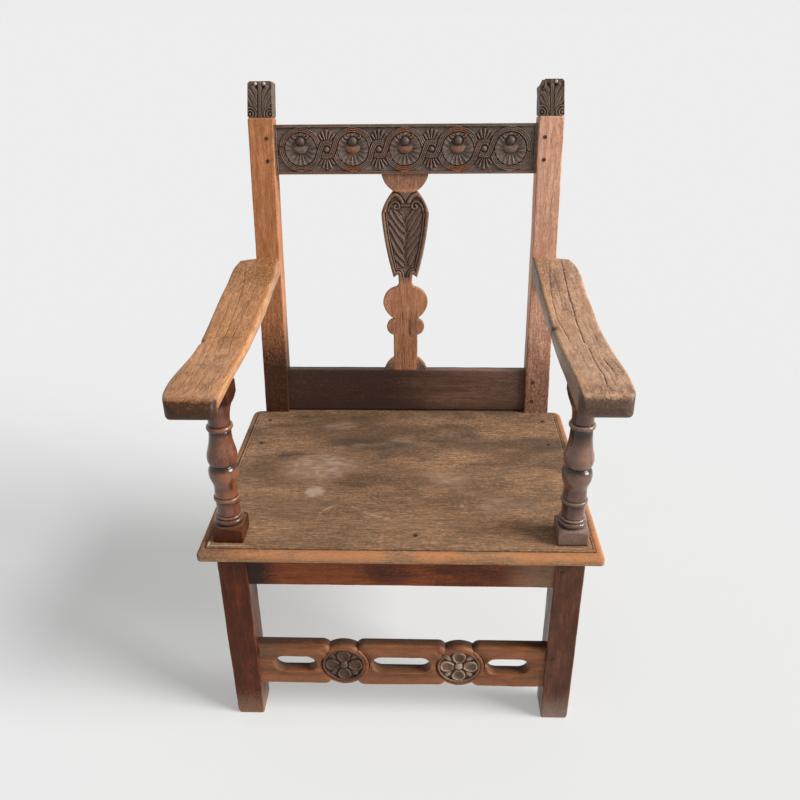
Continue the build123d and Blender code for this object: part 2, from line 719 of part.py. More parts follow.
with BuildPart() as arm_right:
    # plan of the arm
    with BuildSketch(Plane.XY.offset(arm_bed - arm_roll_radius)):
        with BuildLine():
            Line((post_inner, arm_back_y), (post_outer, arm_back_y))
            Line((post_outer, arm_back_y), (arm_outer - arm_shoulder_turn, shoulder_y))
            Spline(
                (arm_outer - arm_shoulder_turn, shoulder_y),
                (arm_outer, shoulder_y - arm_shoulder),
                (arm_outer, shoulder_y - arm_wide_run),
                (post_inner + arm_front_width, arm_front_y),
                tangents=[(0.6, -1), (-0.05, -1)],
            )
            Line((post_inner + arm_front_width, arm_front_y), (post_inner, arm_front_y))
            Line((post_inner, arm_front_y), (post_inner, arm_back_y))
        make_face()
    extrude(amount=arm_back_rise + 2 * arm_roll_radius)
    upright = edges().filter_by(Axis.Z).group_by(Axis.Y)[0].sort_by(Axis.X)
    fillet(upright[-1], arm_roll_corner)
    # side view: sweeps down from the post, dips, and ends in a roll
    with BuildSketch(Plane.YZ.offset(post_inner)):
        with BuildLine():
            Spline(
                (arm_back_y, arm_back_top),
                (back_y - arm_sweep_run, arm_bed + arm_sweep_rise),
                (front_y + arm_dip_run, arm_bed + arm_dip_rise),
                (leg_mid_y, arm_bed + arm_crown_rise),
                (roll_y, roll_z + arm_roll_radius),
                tangents=[(-1, -0.4), (-1, 0)],
            )
            ThreePointArc(
                (roll_y, roll_z + arm_roll_radius),
                (arm_front_y, roll_z),
                (roll_meets_bed, arm_bed),
            )
            Line((roll_meets_bed, arm_bed), (leg_back_y + arm_bed_margin, arm_bed))
            Spline(
                (leg_back_y + arm_bed_margin, arm_bed),
                (front_y + arm_belly_run, arm_bed - arm_belly_drop),
                (arm_low_y, arm_back_low),
                tangents=[(1, 0), (1, 0.08)],
            )
            Line((arm_low_y, arm_back_low), (arm_back_y, arm_back_top))
        make_face()
    extrude(amount=2 * arm_width, mode=Mode.INTERSECT)
    # tenon into the rear post, hole for the pin of the front post
    tenon_out = (tenon_root - tenon_length) / 2
    with Locations(back_plane.location * Location((post_mid, arm_tenon_up, tenon_out))):
        Box(tenon_thick, arm_tenon, tenon_length + tenon_root)
    with Locations((leg_mid, leg_mid_y, arm_bed)):
        Cylinder(
            arm_pin_radius + peg_play, 2 * (arm_pin_length + end_play), mode=Mode.SUBTRACT
        )
    drill(arm_peg, arm_peg_deep)
finish(arm_right.part, "arm_right")

with BuildPart() as arm_left:
    mirror(arm_right.part, about=Plane.YZ)
finish(arm_left.part, "arm_left")

# ----------------------------------------------------------- lower back rail
with BuildPart() as lower_back_rail:
    with Locations(back_plane.location * Location((0, lower_rail_mid, lower_rail_out))):
        Box(2 * post_inner, lower_rail_height, lower_rail_thick)
        Box(2 * (post_inner + tenon_length), lower_tenon, tenon_thick)
    with Locations(back_plane.location * Location((0, lower_rail_top, splat_out))):
        Box(
            tongue_width + 2 * cheek_play,
            2 * (tongue_length + end_play),
            tongue_thick + 2 * cheek_play,
            mode=Mode.SUBTRACT,
        )
    for place in lower_rail_pegs:
        drill(place, lower_rail_peg_deep)
        drill(mirrored(place), lower_rail_peg_deep)
finish(lower_back_rail.part, "lower_back_rail")

# ----------------------------------------------------------------- crest rail
crest_floor = back_plane.offset(-crest_setback - crest_sink)
rosette_places = [
    ((index - (crest_count - 1) / 2) * crest_pitch, crest_mid) for index in range(crest_count)
]
link_places = [(x + crest_pitch / 2, up) for x, up in rosette_places[:-1]]

with BuildPart() as crest_rail:
    with Locations(back_plane.location * Location((0, crest_mid, crest_out))):
        Box(2 * post_inner, crest_height, crest_thick)
        Box(2 * (post_inner + tenon_length), crest_tenon, tenon_thick)
    # sunk field between plain borders
    with BuildSketch(crest_floor):
        with Locations((0, crest_mid)):
            Rectangle(2 * (post_inner - crest_border), crest_height - 2 * crest_border)
    extrude(amount=crest_sink, mode=Mode.SUBTRACT)
    # a strap runs round five rosettes and makes a small ring between them
    with BuildSketch(crest_floor):
        with Locations(rosette_places):
            Circle(strap_radius)
        with Locations(link_places):
            Circle(link_radius)
        with Locations(rosette_places):
            Circle(strap_radius - strap_width, mode=Mode.SUBTRACT)
        with Locations(link_places):
            Circle(link_radius - strap_width, mode=Mode.SUBTRACT)
    extrude(amount=crest_sink)
    for across, up in rosette_places:
        with Locations(crest_floor.location * Location((across, up, 0))):
            Cone(
                crest_rosette,
                crest_rosette_top,
                crest_rosette_rise,
                align=(Align.CENTER, Align.CENTER, Align.MIN),
            )
        with Locations(crest_floor.location * Location((across, up + crest_boss_offset, 0))):
            Cone(
                crest_boss,
                crest_boss_top,
                crest_boss_rise,
                align=(Align.CENTER, Align.CENTER, Align.MIN),
            )
    for across, up in link_places:
        with Locations(crest_floor.location * Location((across, up, 0))):
            Cone(
                link_bead, link_bead_top, crest_sink, align=(Align.CENTER, Align.CENTER, Align.MIN)
            )
    # mortise in the lower edge for the splat
    with Locations(back_plane.location * Location((0, crest_bottom, splat_out))):
        Box(
            tongue_width + 2 * cheek_play,
            2 * (tongue_length + end_play),
            tongue_thick + 2 * cheek_play,
            mode=Mode.SUBTRACT,
        )
    for place in crest_pegs_at:
        drill(place, crest_peg_deep)
        drill(mirrored(place), crest_peg_deep)
finish(crest_rail.part, "crest_rail")

# ---------------------------------------------------------------------- splat
bowl_foot = crest_bottom - bowl_depth
leaf_wide = bowl_foot - leaf_shoulder
leaf_tip = bowl_foot - leaf_length
neck_foot = leaf_tip - neck_length
ear_foot = neck_foot - heart_ear_drop
heart_wide = neck_foot - heart_shoulder
heart_foot = neck_foot - heart_length
roll_foot = heart_foot - roll_length
foot_top = lower_rail_top + foot_length

with BuildPart() as splat:
    # one half of the outline, from the crest rail down, then its mirror image
    with BuildSketch(back_plane.offset(-splat_setback)):
        with BuildLine():
            Line((0, crest_bottom), (bowl_half, crest_bottom))
            bow((bowl_half, crest_bottom), (bowl_waist, bowl_foot), bowl_swell)
            bow((bowl_waist, bowl_foot), (leaf_half, leaf_wide), leaf_swell)
            bow((leaf_half, leaf_wide), (leaf_tip_half, leaf_tip), leaf_swell)
            Line((leaf_tip_half, leaf_tip), (neck_half, leaf_tip + leaf_tip_cut))
            Line((neck_half, leaf_tip + leaf_tip_cut), (neck_half, neck_foot))
            Line((neck_half, neck_foot), (heart_ear, ear_foot))
            bow((heart_ear, ear_foot), (heart_half, heart_wide), heart_swell)
            bow((heart_half, heart_wide), (heart_waist, heart_foot), heart_swell_low)
            bow((heart_waist, heart_foot), (shaft_half, roll_foot), roll_half - heart_waist)
            Line((shaft_half, roll_foot), (shaft_half, foot_top))
            bow((shaft_half, foot_top), (foot_half, lower_rail_top), foot_swell)
            Line((foot_half, lower_rail_top), (0, lower_rail_top))
            mirror(about=Plane.YZ)
        make_face()
    extrude(amount=-splat_thick)
    # tongues into the rails above and below
    for up in (crest_bottom, lower_rail_top):
        with Locations(back_plane.location * Location((0, up, splat_out))):
            Box(tongue_width, 2 * tongue_length, tongue_thick)
finish(splat.part, "splat")

# ------------------------------------------------------- pegs and seat nails
with BuildPart() as front_rail_pegs:
    drive(front_rail_peg, front_rail_peg_deep)
    mirror(about=Plane.YZ)
finish(front_rail_pegs.part, "front_rail_pegs")

with BuildPart() as side_rail_pegs:
    drive(leg_side_peg, leg_side_peg_deep)
    drive(post_side_peg, post_side_peg_deep)
    mirror(about=Plane.YZ)
finish(side_rail_pegs.part, "side_rail_pegs")

with BuildPart() as rear_rail_pegs:
    drive(rear_rail_peg, rear_rail_peg_deep)
    mirror(about=Plane.YZ)
finish(rear_rail_pegs.part, "rear_rail_pegs")

with BuildPart() as stretcher_peg_group:
    for place in stretcher_pegs:
        drive(place, stretcher_peg_deep)
    mirror(about=Plane.YZ)
finish(stretcher_peg_group.part, "stretcher_pegs")

with BuildPart() as lower_rail_peg_group:
    for place in lower_rail_pegs:
        drive(place, lower_rail_peg_deep)
    mirror(about=Plane.YZ)
finish(lower_rail_peg_group.part, "lower_rail_pegs")

with BuildPart() as crest_rail_pegs:
    for place in crest_pegs_at:
        drive(place, crest_peg_deep)
    mirror(about=Plane.YZ)
finish(crest_rail_pegs.part, "crest_rail_pegs")

with BuildPart() as arm_pegs:
    drive(arm_peg, arm_peg_deep)
    mirror(about=Plane.YZ)
finish(arm_pegs.part, "arm_pegs")

with BuildPart() as seat_nails:
    for x, y in nail_places:
        with Locations((x, y, seat_height - nail_sink)):
            Cylinder(nail_shank, nail_length, align=(Align.CENTER, Align.CENTER, Align.MAX))
            Cylinder(
                nail_head, nail_head_thick, align=(Align.CENTER, Align.CENTER, Align.MAX)
            )
finish(seat_nails.part, "seat_nails")
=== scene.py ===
"""Joined open armchair of old waxed oak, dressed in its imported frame.

Sizes inside the classes are millimetres; meshes are scaled to metres as they are
made.  X is to the right of someone in front of the chair, +Y to its back, +Z up.
"""

import logging
import math
from collections.abc import Callable
from dataclasses import dataclass, field, replace
from enum import Enum

import bpy
import numpy as np
from mathutils import Matrix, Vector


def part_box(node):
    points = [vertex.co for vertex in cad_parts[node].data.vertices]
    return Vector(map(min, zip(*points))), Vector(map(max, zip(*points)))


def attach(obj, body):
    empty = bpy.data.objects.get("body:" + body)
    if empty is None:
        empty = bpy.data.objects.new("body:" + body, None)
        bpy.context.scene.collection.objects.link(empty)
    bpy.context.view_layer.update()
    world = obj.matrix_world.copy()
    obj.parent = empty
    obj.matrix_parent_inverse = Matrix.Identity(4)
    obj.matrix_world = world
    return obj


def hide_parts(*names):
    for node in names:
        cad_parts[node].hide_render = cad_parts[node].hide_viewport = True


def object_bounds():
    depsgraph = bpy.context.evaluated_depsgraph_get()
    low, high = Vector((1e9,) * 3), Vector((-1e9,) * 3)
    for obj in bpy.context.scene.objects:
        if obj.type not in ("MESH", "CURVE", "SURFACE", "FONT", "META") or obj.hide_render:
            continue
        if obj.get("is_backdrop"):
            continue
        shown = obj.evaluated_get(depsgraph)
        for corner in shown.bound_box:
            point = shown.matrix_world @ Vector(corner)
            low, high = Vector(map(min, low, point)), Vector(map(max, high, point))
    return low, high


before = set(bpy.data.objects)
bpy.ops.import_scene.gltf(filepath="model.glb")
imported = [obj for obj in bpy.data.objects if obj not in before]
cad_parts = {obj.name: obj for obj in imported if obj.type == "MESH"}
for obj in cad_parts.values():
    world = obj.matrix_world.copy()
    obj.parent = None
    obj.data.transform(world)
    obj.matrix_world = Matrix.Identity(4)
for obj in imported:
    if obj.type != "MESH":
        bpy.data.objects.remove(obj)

LOG = logging.getLogger("armchair")
Array = np.ndarray
Line = tuple[tuple[float, float], ...]
MM = 0.001
CORNER_STEPS = 6  # points round each worn arris
TENON = 4  # how far a drawn rail runs into its posts
RAKE = math.radians(8.4)  # how far the back leans
SIDES = {-1: "left", 1: "right"}


# ------------------------------------------------------------------ hand work
def speckle(cells: Array, seed: int) -> Array:
    """Gives every cell of an endless grid its own lasting number.

    Args:
        cells: whole-number places, three to a row.
        seed: picks one grid out of many.

    Returns:
        Numbers from -1 to 1, one for each row.
    """
    # large odd factors scatter neighbouring cells
    mixed = cells[..., 0] * 73856093 ^ cells[..., 1] * 19349663 ^ cells[..., 2] * 83492791
    mixed = mixed ^ (seed * 40503 + 977)
    mixed = (mixed ^ mixed >> 13) * 1274126177 & 0xFFFFFFFF
    mixed = (mixed ^ mixed >> 16) & 0xFFFF
    return mixed / 32767.5 - 1


def wander(points: Array, size: float | tuple[float, ...], seed: int) -> Array:
    """Makes the smooth unevenness that hand tools leave.

    Args:
        points: places in mm, three to a row.
        size: how far apart its hills are, in mm, the same or one for each axis.
        seed: picks one pattern out of many.

    Returns:
        Heights from -1 to 1, one for each place.
    """
    scaled = points / np.asarray(size, float)
    base = np.floor(scaled).astype(np.int64)
    part = scaled - base
    part = part * part * (3 - 2 * part)
    total = np.zeros(points.shape[:-1])
    for corner in range(8):
        step = np.array([corner & 1, corner >> 1 & 1, corner >> 2 & 1])
        weight = np.prod(np.where(step == 1, part, 1 - part), axis=-1)
        total += weight * speckle(base + step, seed)
    return total


def ease(low: float, high: float, value: Array) -> Array:
    """Rises smoothly from 0 at low to 1 at high, or falls where low is above high."""
    t = np.clip((value - low) / (high - low), 0, 1)
    return t * t * (3 - 2 * t)


def span(value: Array, start: float, full: float, fall: float, end: float) -> Array:
    """Rises from 0 at start to 1 at full, and falls from fall back to 0 at end."""
    return ease(start, full, value) * ease(end, fall, value)


def ripple(x: Array, y: Array, size: float | tuple[float, ...], seed: int) -> Array:
    """Gives the unevenness that wander makes on a flat face."""
    return wander(np.stack([x, y, 0 * x], -1), size, seed)


def arris(radius: float | Array, distance: Array) -> Array:
    """Says how far a rounded edge has fallen at a distance from its corner."""
    inner = np.clip(radius - distance, 0, radius)
    return radius - np.sqrt(np.maximum(radius**2 - inner**2, 0))


def ridge(distance: Array, half: float | Array) -> Array:
    """Rounds a carved strand: 1 on its middle line, 0 at half its width."""
    return np.sqrt(np.clip(1 - (distance / half) ** 2, 0, 1))


def scratch(distance: Array, half: float) -> Array:
    """Shapes a cut line: 1 on the line, fading over half its width."""
    return np.exp(-((distance / half) ** 2))


def spot(x: Array, y: Array, place: tuple[float, ...]) -> Array:
    """Spreads a stain: place holds its middle, its two half sizes and its strength."""
    away = np.hypot((x - place[0]) / place[2], (y - place[1]) / place[3])
    return place[4] * ease(1.25, 0.45, away)


def between(start: float, end: float, step: float) -> Array:
    """Spaces stations evenly from start to end, about a step apart."""
    return np.linspace(start, end, max(2, round(abs(end - start) / step) + 1))


def stations(*runs: tuple[float, float, float]) -> Array:
    """Joins runs of stations, each given as its start, end and step."""
    return np.unique(np.concatenate([between(*run) for run in runs]).round(4))


def smooth_line(knots: Line, per_knot: int = 16) -> Array:
    """Draws a fair curve through knots.

    Args:
        knots: the places that it passes through.
        per_knot: points drawn from each knot to the next.

    Returns:
        Places along the curve, two to a row.
    """
    k = np.array(knots, float)
    k = np.vstack([2 * k[0] - k[1], k, 2 * k[-1] - k[-2]])
    t = np.linspace(0, 1, per_knot, endpoint=False)[:, None]
    runs = [
        0.5 * (2 * b + (c - a) * t + (2 * a - 5 * b + 4 * c - d) * t**2
               + (3 * b - a - 3 * c + d) * t**3)
        for a, b, c, d in zip(k, k[1:], k[2:], k[3:])
    ]
    return np.vstack([*runs, k[-2:-1]])


def arc(start: tuple[float, float], end: tuple[float, float], swell: float) -> Array:
    """Draws an arc that bows to the left of its way by swell, as 13 places."""
    a, b = np.array(start, float), np.array(end, float)
    chord = b - a
    span = math.hypot(*chord)
    left = np.array([-chord[1], chord[0]]) / span
    radius = (span**2 / 4 + swell**2) / (2 * swell)
    half = math.asin(min(1, span / 2 / radius))
    if swell > span / 2:
        half = math.pi - half
    turn = np.linspace(-half, half, 13)[:, None]
    centre = (a + b) / 2 + left * (swell - radius)
    return centre + radius * (np.sin(turn) * chord / span + np.cos(turn) * left)


def reach(x: Array, y: Array, line: Array) -> Array:
    """Measures how far places lie from a drawn line.

    Args:
        x: places across.
        y: places up.
        line: the line's points, two to a row.

    Returns:
        The distance of each place from the nearest run of the line.
    """
    best = np.full(x.shape, 1e9)
    for (ax, ay), (bx, by) in zip(line[:-1], line[1:]):
        dx, dy = bx - ax, by - ay
        t = np.clip(((x - ax) * dx + (y - ay) * dy) / max(dx * dx + dy * dy, 1e-9), 0, 1)
        best = np.minimum(best, (x - ax - t * dx) ** 2 + (y - ay - t * dy) ** 2)
    return np.sqrt(best)


def within(x: Array, y: Array, line: Array) -> Array:
    """Measures how deep places lie inside a closed outline, less than 0 outside it.

    Args:
        x: places across.
        y: places up.
        line: the outline's points, with the first again at the end.

    Returns:
        The signed distance of each place from the outline.
    """
    inside = np.zeros(x.shape, bool)
    for (ax, ay), (bx, by) in zip(line[:-1], line[1:]):
        if ay != by:
            inside ^= ((ay > y) != (by > y)) & (x < (bx - ax) * (y - ay) / (by - ay) + ax)
    return np.where(inside, 1, -1) * reach(x, y, line)


# ------------------------------------------------------------------- surfaces
@dataclass
class Surface:
    """A closed skin of four-sided faces, with what its paint needs at each point."""

    points: Array
    faces: Array
    marks: dict[str, Array] = field(default_factory=dict)

    def __post_init__(self) -> None:
        """Turns a skin that is inside out."""
        a, b, c, d = (self.points[self.faces[:, k]] for k in range(4))
        if np.einsum("ij,ij->i", a + b + c + d, np.cross(c - a, d - b)).sum() < 0:
            self.faces = self.faces[:, ::-1]

    def normals(self) -> Array:
        """Gives the outward direction at each point."""
        a, b, c, d = (self.points[self.faces[:, k]] for k in range(4))
        facing = np.cross(c - a, d - b)
        total = np.zeros_like(self.points)
        for k in range(4):
            for axis in range(3):
                total[:, axis] += np.bincount(self.faces[:, k], facing[:, axis], len(total))
        return total / np.maximum(np.linalg.norm(total, axis=1, keepdims=True), 1e-9)

    def roughen(self, height: float, size: float | tuple[float, ...], seed: int) -> "Surface":
        """Moves the skin in and out as hand work does.

        Args:
            height: the most that it moves, in mm.
            size: how far apart the hills are, in mm.
            seed: picks one pattern out of many.

        Returns:
            The same surface.
        """
        moved = height * wander(self.points, size, seed)[:, None]
        self.points = self.points + self.normals() * moved
        return self

    def bite(self, place: tuple[float, ...], size: tuple[float, ...], deep: float) -> "Surface":
        """Takes a knock out of the skin.

        Args:
            place: its middle.
            size: how far it spreads along each axis.
            deep: its depth, in mm.

        Returns:
            The same surface, dirty in the knock.
        """
        near = np.linalg.norm((self.points - np.array(place)) / np.array(size), axis=1)
        hollow = np.clip(1 - near**2, 0, 1) ** 1.5
        self.points = self.points - self.normals() * (deep * hollow)[:, None]
        return self.mark(dark=0.9 * hollow)

    def mark(self, **strengths: Array | float) -> "Surface":
        """Adds to the marks that the finish reads: dark, pale, wear, dirt and polish."""
        for name, strength in strengths.items():
            added = np.broadcast_to(strength, len(self.points))
            self.marks[name] = self.marks.get(name, 0) + added
        return self

    def age(self, depth: float, passes: int = 4, seed: int = 7, rub: float = 1) -> "Surface":
        """Finds what hands rub and where dirt stays.

        Args:
            depth: a hollow this deep, in mm, is wholly dirty.
            passes: how widely it looks round each point.
            seed: picks where hands passed most.
            rub: how strongly its crests are rubbed.

        Returns:
            The same surface, with wear on its crests and dirt in its hollows.
        """
        pairs = np.vstack([self.faces[:, [k, (k + 1) % 4]] for k in range(4)])
        pairs = np.unique(np.sort(pairs, axis=1), axis=0)
        count = np.bincount(pairs.ravel(), minlength=len(self.points))[:, None]
        soft = self.points
        for _ in range(passes):
            total = np.zeros_like(soft)
            for axis in range(3):
                total[:, axis] = np.bincount(pairs[:, 0], soft[pairs[:, 1], axis], len(soft))
                total[:, axis] += np.bincount(pairs[:, 1], soft[pairs[:, 0], axis], len(soft))
            soft = total / np.maximum(count, 1)
        hollow = np.einsum("ij,ij->i", soft - self.points, self.normals()) / depth
        handled = 0.3 + 0.7 * ease(-0.35, 0.5, wander(self.points, 42, seed))
        self.mark(dirt=np.clip(hollow, 0, 1) ** 1.4)
        return self.mark(wear=rub * np.clip(-hollow - 0.1, 0, 1) * handled)

    def moved(self, place: "Face") -> "Surface":
        """Sets a surface that was drawn on a face into the chair."""
        return Surface(place.set(self.points), self.faces, self.marks)


def joined(parts: list[Surface]) -> Surface:
    """Makes one surface of several separate skins."""
    starts = np.cumsum([0] + [len(p.points) for p in parts[:-1]])
    names = {name for p in parts for name in p.marks}
    marks = {
        name: np.concatenate([p.marks.get(name, np.zeros(len(p.points))) for p in parts])
        for name in sorted(names)
    }
    faces = np.vstack([p.faces + start for p, start in zip(parts, starts)])
    whole = Surface(np.vstack([p.points for p in parts]), faces, marks)
    whole.faces = faces  # each skin faces outwards by itself
    return whole


def skin(rings: Array) -> Surface:
    """Covers a row of rings and closes both ends.

    Args:
        rings: stations, points round each, and their three coordinates in mm.

    Returns:
        The closed surface.
    """
    count, around, _ = rings.shape
    index = np.arange(count * around).reshape(count, around)
    ahead = np.roll(index, -1, axis=1)
    sides = np.stack([index[:-1], ahead[:-1], ahead[1:], index[1:]], -1).reshape(-1, 4)
    i = np.arange(around // 2 - 1)
    cap = np.stack([i, i + 1, around - 2 - i, around - 1 - i], -1)
    return Surface(rings.reshape(-1, 3), np.vstack([sides, cap[:, ::-1], cap + index[-1, 0]]))


def bar_rings(half: Array, deep: Array, edge: Array, per_side: int) -> Array:
    """Draws a bar's outline at each station, with its four arrises rubbed round.

    Args:
        half: half its width at each station.
        deep: half its depth at each station.
        edge: the radius of each of the four arrises at each station.
        per_side: points along each flat between two arrises.

    Returns:
        Places across and up, for each point of each station.
    """
    spread = (1 - np.cos(np.linspace(0, math.pi, per_side + 2)[1:-1])) / 2
    arcs = []
    for k, (sx, sy) in enumerate(((1, 1), (-1, 1), (-1, -1), (1, -1))):
        turn = np.radians(90 * k + np.linspace(0, 90, CORNER_STEPS))
        c = edge[:, k, None]
        x = sx * (half[:, None] - c) + c * np.cos(turn)
        arcs.append(np.stack([x, sy * (deep[:, None] - c) + c * np.sin(turn)], -1))
    rings = []
    for k in range(4):
        start, end = arcs[k][:, -1:], arcs[(k + 1) % 4][:, :1]
        rings += [arcs[k], start + (end - start) * spread[None, :, None]]
    return np.concatenate(rings, axis=1)


def rubbed(along: Array, radius: float, seed: int) -> Array:
    """Makes the uneven radius of four long arrises, one row for each station."""
    spots = np.stack([np.stack([along, 0 * along + 50 * k, 0 * along], -1) for k in range(4)], 1)
    return radius * (1 + 0.5 * wander(spots, 34, seed) + 0.25 * wander(spots, 11, seed + 1))


def run_out(section: Array, run: Array) -> Array:
    """Adds to every ring of a section its place along the run, as a third coordinate."""
    along = np.broadcast_to(run[:, None, None], (*section.shape[:2], 1))
    return np.concatenate([section, along], -1)


@dataclass(frozen=True)
class Face:
    """A working face: its origin and the directions across it and up it."""

    origin: tuple[float, float, float]
    across: tuple[float, float, float] = (1, 0, 0)
    up: tuple[float, float, float] = (0, 0, 1)

    def set(self, points: Array) -> Array:
        """Turns places across, up and out of the face into places in the chair."""
        axes = (self.across, self.up, np.cross(self.across, self.up))
        moved = (points[..., k : k + 1] * np.array(axis) for k, axis in enumerate(axes))
        return sum(moved, np.array(self.origin))


def bar(face: Face, length: tuple[float, float], size: tuple[float, float], radius: float,
        seed: int) -> Surface:
    """Makes a straight rail that was planed by hand.

    Args:
        face: across is the rail's length; its section is up and out of the face.
        length: where it starts and ends across the face.
        size: its height and its thickness, about the face's own line.
        radius: how far its arrises are worn.
        seed: picks its unevenness.

    Returns:
        The rail's surface.
    """
    along = between(*length, 6)
    full = np.ones(len(along))
    section = bar_rings(full * size[0] / 2, full * size[1] / 2, rubbed(along, radius, seed), 12)
    rail = skin(face.set(np.roll(run_out(section, along), 1, axis=-1)))
    return rail.roughen(0.35, (90, 90, 40), seed + 2).age(depth=0.2, passes=3, seed=seed, rub=0.4)


def grid(x: Array) -> Array:
    """Joins the places of a grid into four-sided faces."""
    index = np.arange(x.size).reshape(x.shape)
    corners = [index[:-1, :-1], index[1:, :-1], index[1:, 1:], index[:-1, 1:]]
    return np.stack(corners, -1).reshape(-1, 4)


def board(x: Array, y: Array, top: Array, under: Array, quads: Array) -> Surface:
    """Closes two faces that share one plan into a board.

    Args:
        x: places across.
        y: places up.
        top: the height of its face at each place.
        under: the height of its back at each place.
        quads: four-sided faces over the places; places outside them are left out.

    Returns:
        The closed board.
    """
    used = np.unique(quads)
    count = len(used)
    places = np.zeros(len(x), int)
    places[used] = np.arange(count)
    quads = places[quads]
    edges = np.vstack([quads[:, [k, (k + 1) % 4]] for k in range(4)])
    code, other = edges[:, 0] * count + edges[:, 1], edges[:, 1] * count + edges[:, 0]
    a, b = edges[~np.isin(code, other)].T
    wall = np.stack([b, a, a + count, b + count], -1)
    points = [np.stack([x, y, height], -1)[used] for height in (top, under)]
    return Surface(np.vstack(points), np.vstack([quads, quads[:, ::-1] + count, wall]))


def carve(plan: Callable[[Array, Array], Array], relief: Callable[[Array, Array, Array], Array],
          low: tuple[float, float], high: tuple[float, float], thick: float, step: float,
          edge: float = 1.2) -> Surface:
    """Saws a board to a plan and carves its face.

    Args:
        plan: how deep a place lies inside the outline, less than 0 outside.
        relief: the height of the face at a place, 0 on the uncut face.
        low: lowest corner of the plan.
        high: highest corner of the plan.
        thick: thickness of the board.
        step: fineness of the carving.
        edge: how far the back arris is rubbed.

    Returns:
        The carved board, across, up and out of its face.
    """
    x, y = np.meshgrid(
        np.arange(low[0] - step, high[0] + 2 * step, step),
        np.arange(low[1] - step, high[1] + 2 * step, step),
        indexing="ij",
    )
    quads = grid(x)
    x, y = x.ravel(), y.ravel()
    depth = plan(x, y)
    quads = quads[(depth[quads] > 0).any(axis=1)]
    # corners that hang over the outline are drawn back onto it
    used = np.unique(quads)
    out = used[depth[used] <= 0]
    nudge = 0.05
    for _ in range(3):
        px, py = x[out], y[out]
        d = plan(px, py)
        gx, gy = (plan(px + nudge, py) - d) / nudge, (plan(px, py + nudge) - d) / nudge
        slope = np.maximum(gx**2 + gy**2, 0.25)
        x[out], y[out] = px - d * gx / slope, py - d * gy / slope
    spare = ~np.isin(np.arange(x.size), used)
    x[spare], y[spare] = 0, 0
    depth = np.maximum(plan(x, y), 0)
    return board(x, y, relief(x, y, depth), -thick + arris(edge, depth), quads)


def dome(radius: float, rise: float, count: int = 12) -> Surface:
    """Makes a small knob that stands out of a face, with its foot just below it."""
    turn = np.linspace(0, 2 * math.pi, 24, endpoint=False)
    tilt = np.linspace(-0.35, math.pi / 2 - 0.05, count)
    r = (radius * np.cos(np.clip(tilt, 0, None)) * (1 - 0.12 * (tilt < 0)))[:, None]
    section = np.stack([r * np.cos(turn), r * np.sin(turn)], -1)
    return skin(run_out(section, rise * np.sin(tilt)))


# ------------------------------------------------------------------- finishes
def linear(code: str) -> tuple[float, float, float, float]:
    """Turns an sRGB hex value into the linear colour that a shader takes."""
    parts = [int(code[k : k + 2], 16) / 255 for k in (1, 3, 5)]
    r, g, b = (c / 12.92 if c <= 0.04045 else ((c + 0.055) / 1.055) ** 2.4 for c in parts)
    return r, g, b, 1


@dataclass(frozen=True)
class Shader:
    """The nodes of one finish, or of the studio's air."""

    tree: bpy.types.NodeTree

    @classmethod
    def of(cls, owner: bpy.types.Material | bpy.types.World) -> "Shader":
        """Clears the owner's nodes, ready for new ones."""
        owner.use_nodes = True
        owner.node_tree.nodes.clear()
        return cls(owner.node_tree)

    def add(self, kind: str, links: dict[str | int, object], **settings: object) -> bpy.types.Node:
        """Adds one node.

        Args:
            kind: Blender's name for the node, after the word ShaderNode.
            links: what goes into each input: another node's output, or a plain value.
            settings: the node's own settings.

        Returns:
            The new node.
        """
        made = self.tree.nodes.new("ShaderNode" + kind)
        for name, value in settings.items():
            setattr(made, name, value)
        for name, value in links.items():
            if isinstance(value, bpy.types.NodeSocket):
                self.tree.links.new(value, made.inputs[name])
            else:
                made.inputs[name].default_value = value
        return made

    def math(self, work: str, a: object, b: object, c: object = 0.0) -> object:
        """Works two or three values into one."""
        return self.add("Math", {0: a, 1: b, 2: c}, operation=work).outputs[0]

    def plus(self, total: object, part: object, share: object) -> object:
        """Adds a share of a part to a total."""
        return self.math("ADD", total, self.math("MULTIPLY", part, share))

    def spread(self, value: object, low: float, high: float, share: float = 1.0,
               kind: str = "LINEAR") -> object:
        """Spreads values from 0 at low to a share at high."""
        links = {"Value": value, "From Min": low, "From Max": high, "To Max": share}
        return self.add("MapRange", links, interpolation_type=kind).outputs[0]

    def noise(self, place: object, scale: float, detail: float, distortion: float = 0.0) -> object:
        """Draws soft noise."""
        links = {"Vector": place, "Scale": scale, "Detail": detail, "Distortion": distortion}
        return self.add("TexNoise", links).outputs[0]

    def ramp(self, value: object, *stops: tuple[float, str]) -> bpy.types.Node:
        """Runs from one colour to another, each given as its place and its hex value."""
        made = self.add("ValToRGB", {0: value})
        for stop, (place, tone) in zip(made.color_ramp.elements, stops):
            stop.position, stop.color = place, linear(tone)
        return made

    def mix(self, share: object, under: object, over: object) -> object:
        """Lays one shader over another by a share."""
        return self.add("MixShader", {0: share, 1: under, 2: over}).outputs[0]

    def close(self, height: object, rough: float, deep: float, body: dict[str, object]) -> None:
        """Ends a finish.

        Args:
            height: the relief too fine for the mesh.
            rough: how strongly it shows.
            deep: how deep it goes, in mm.
            body: what goes into the finish's own inputs.
        """
        links = {"Height": height, "Strength": rough, "Distance": deep * MM}
        bump = self.add("Bump", links).outputs[0]
        made = self.add("BsdfPrincipled", {**body, "Normal": bump})
        self.add("OutputMaterial", {"Surface": made.outputs[0]})


class Grain(Enum):
    """Which way the grain of a piece runs: the axis, and its lean about X."""

    ACROSS = (0, 0.0)
    DEEP = (1, 0.0)
    UP = (2, 0.0)
    RAKED = (2, RAKE)


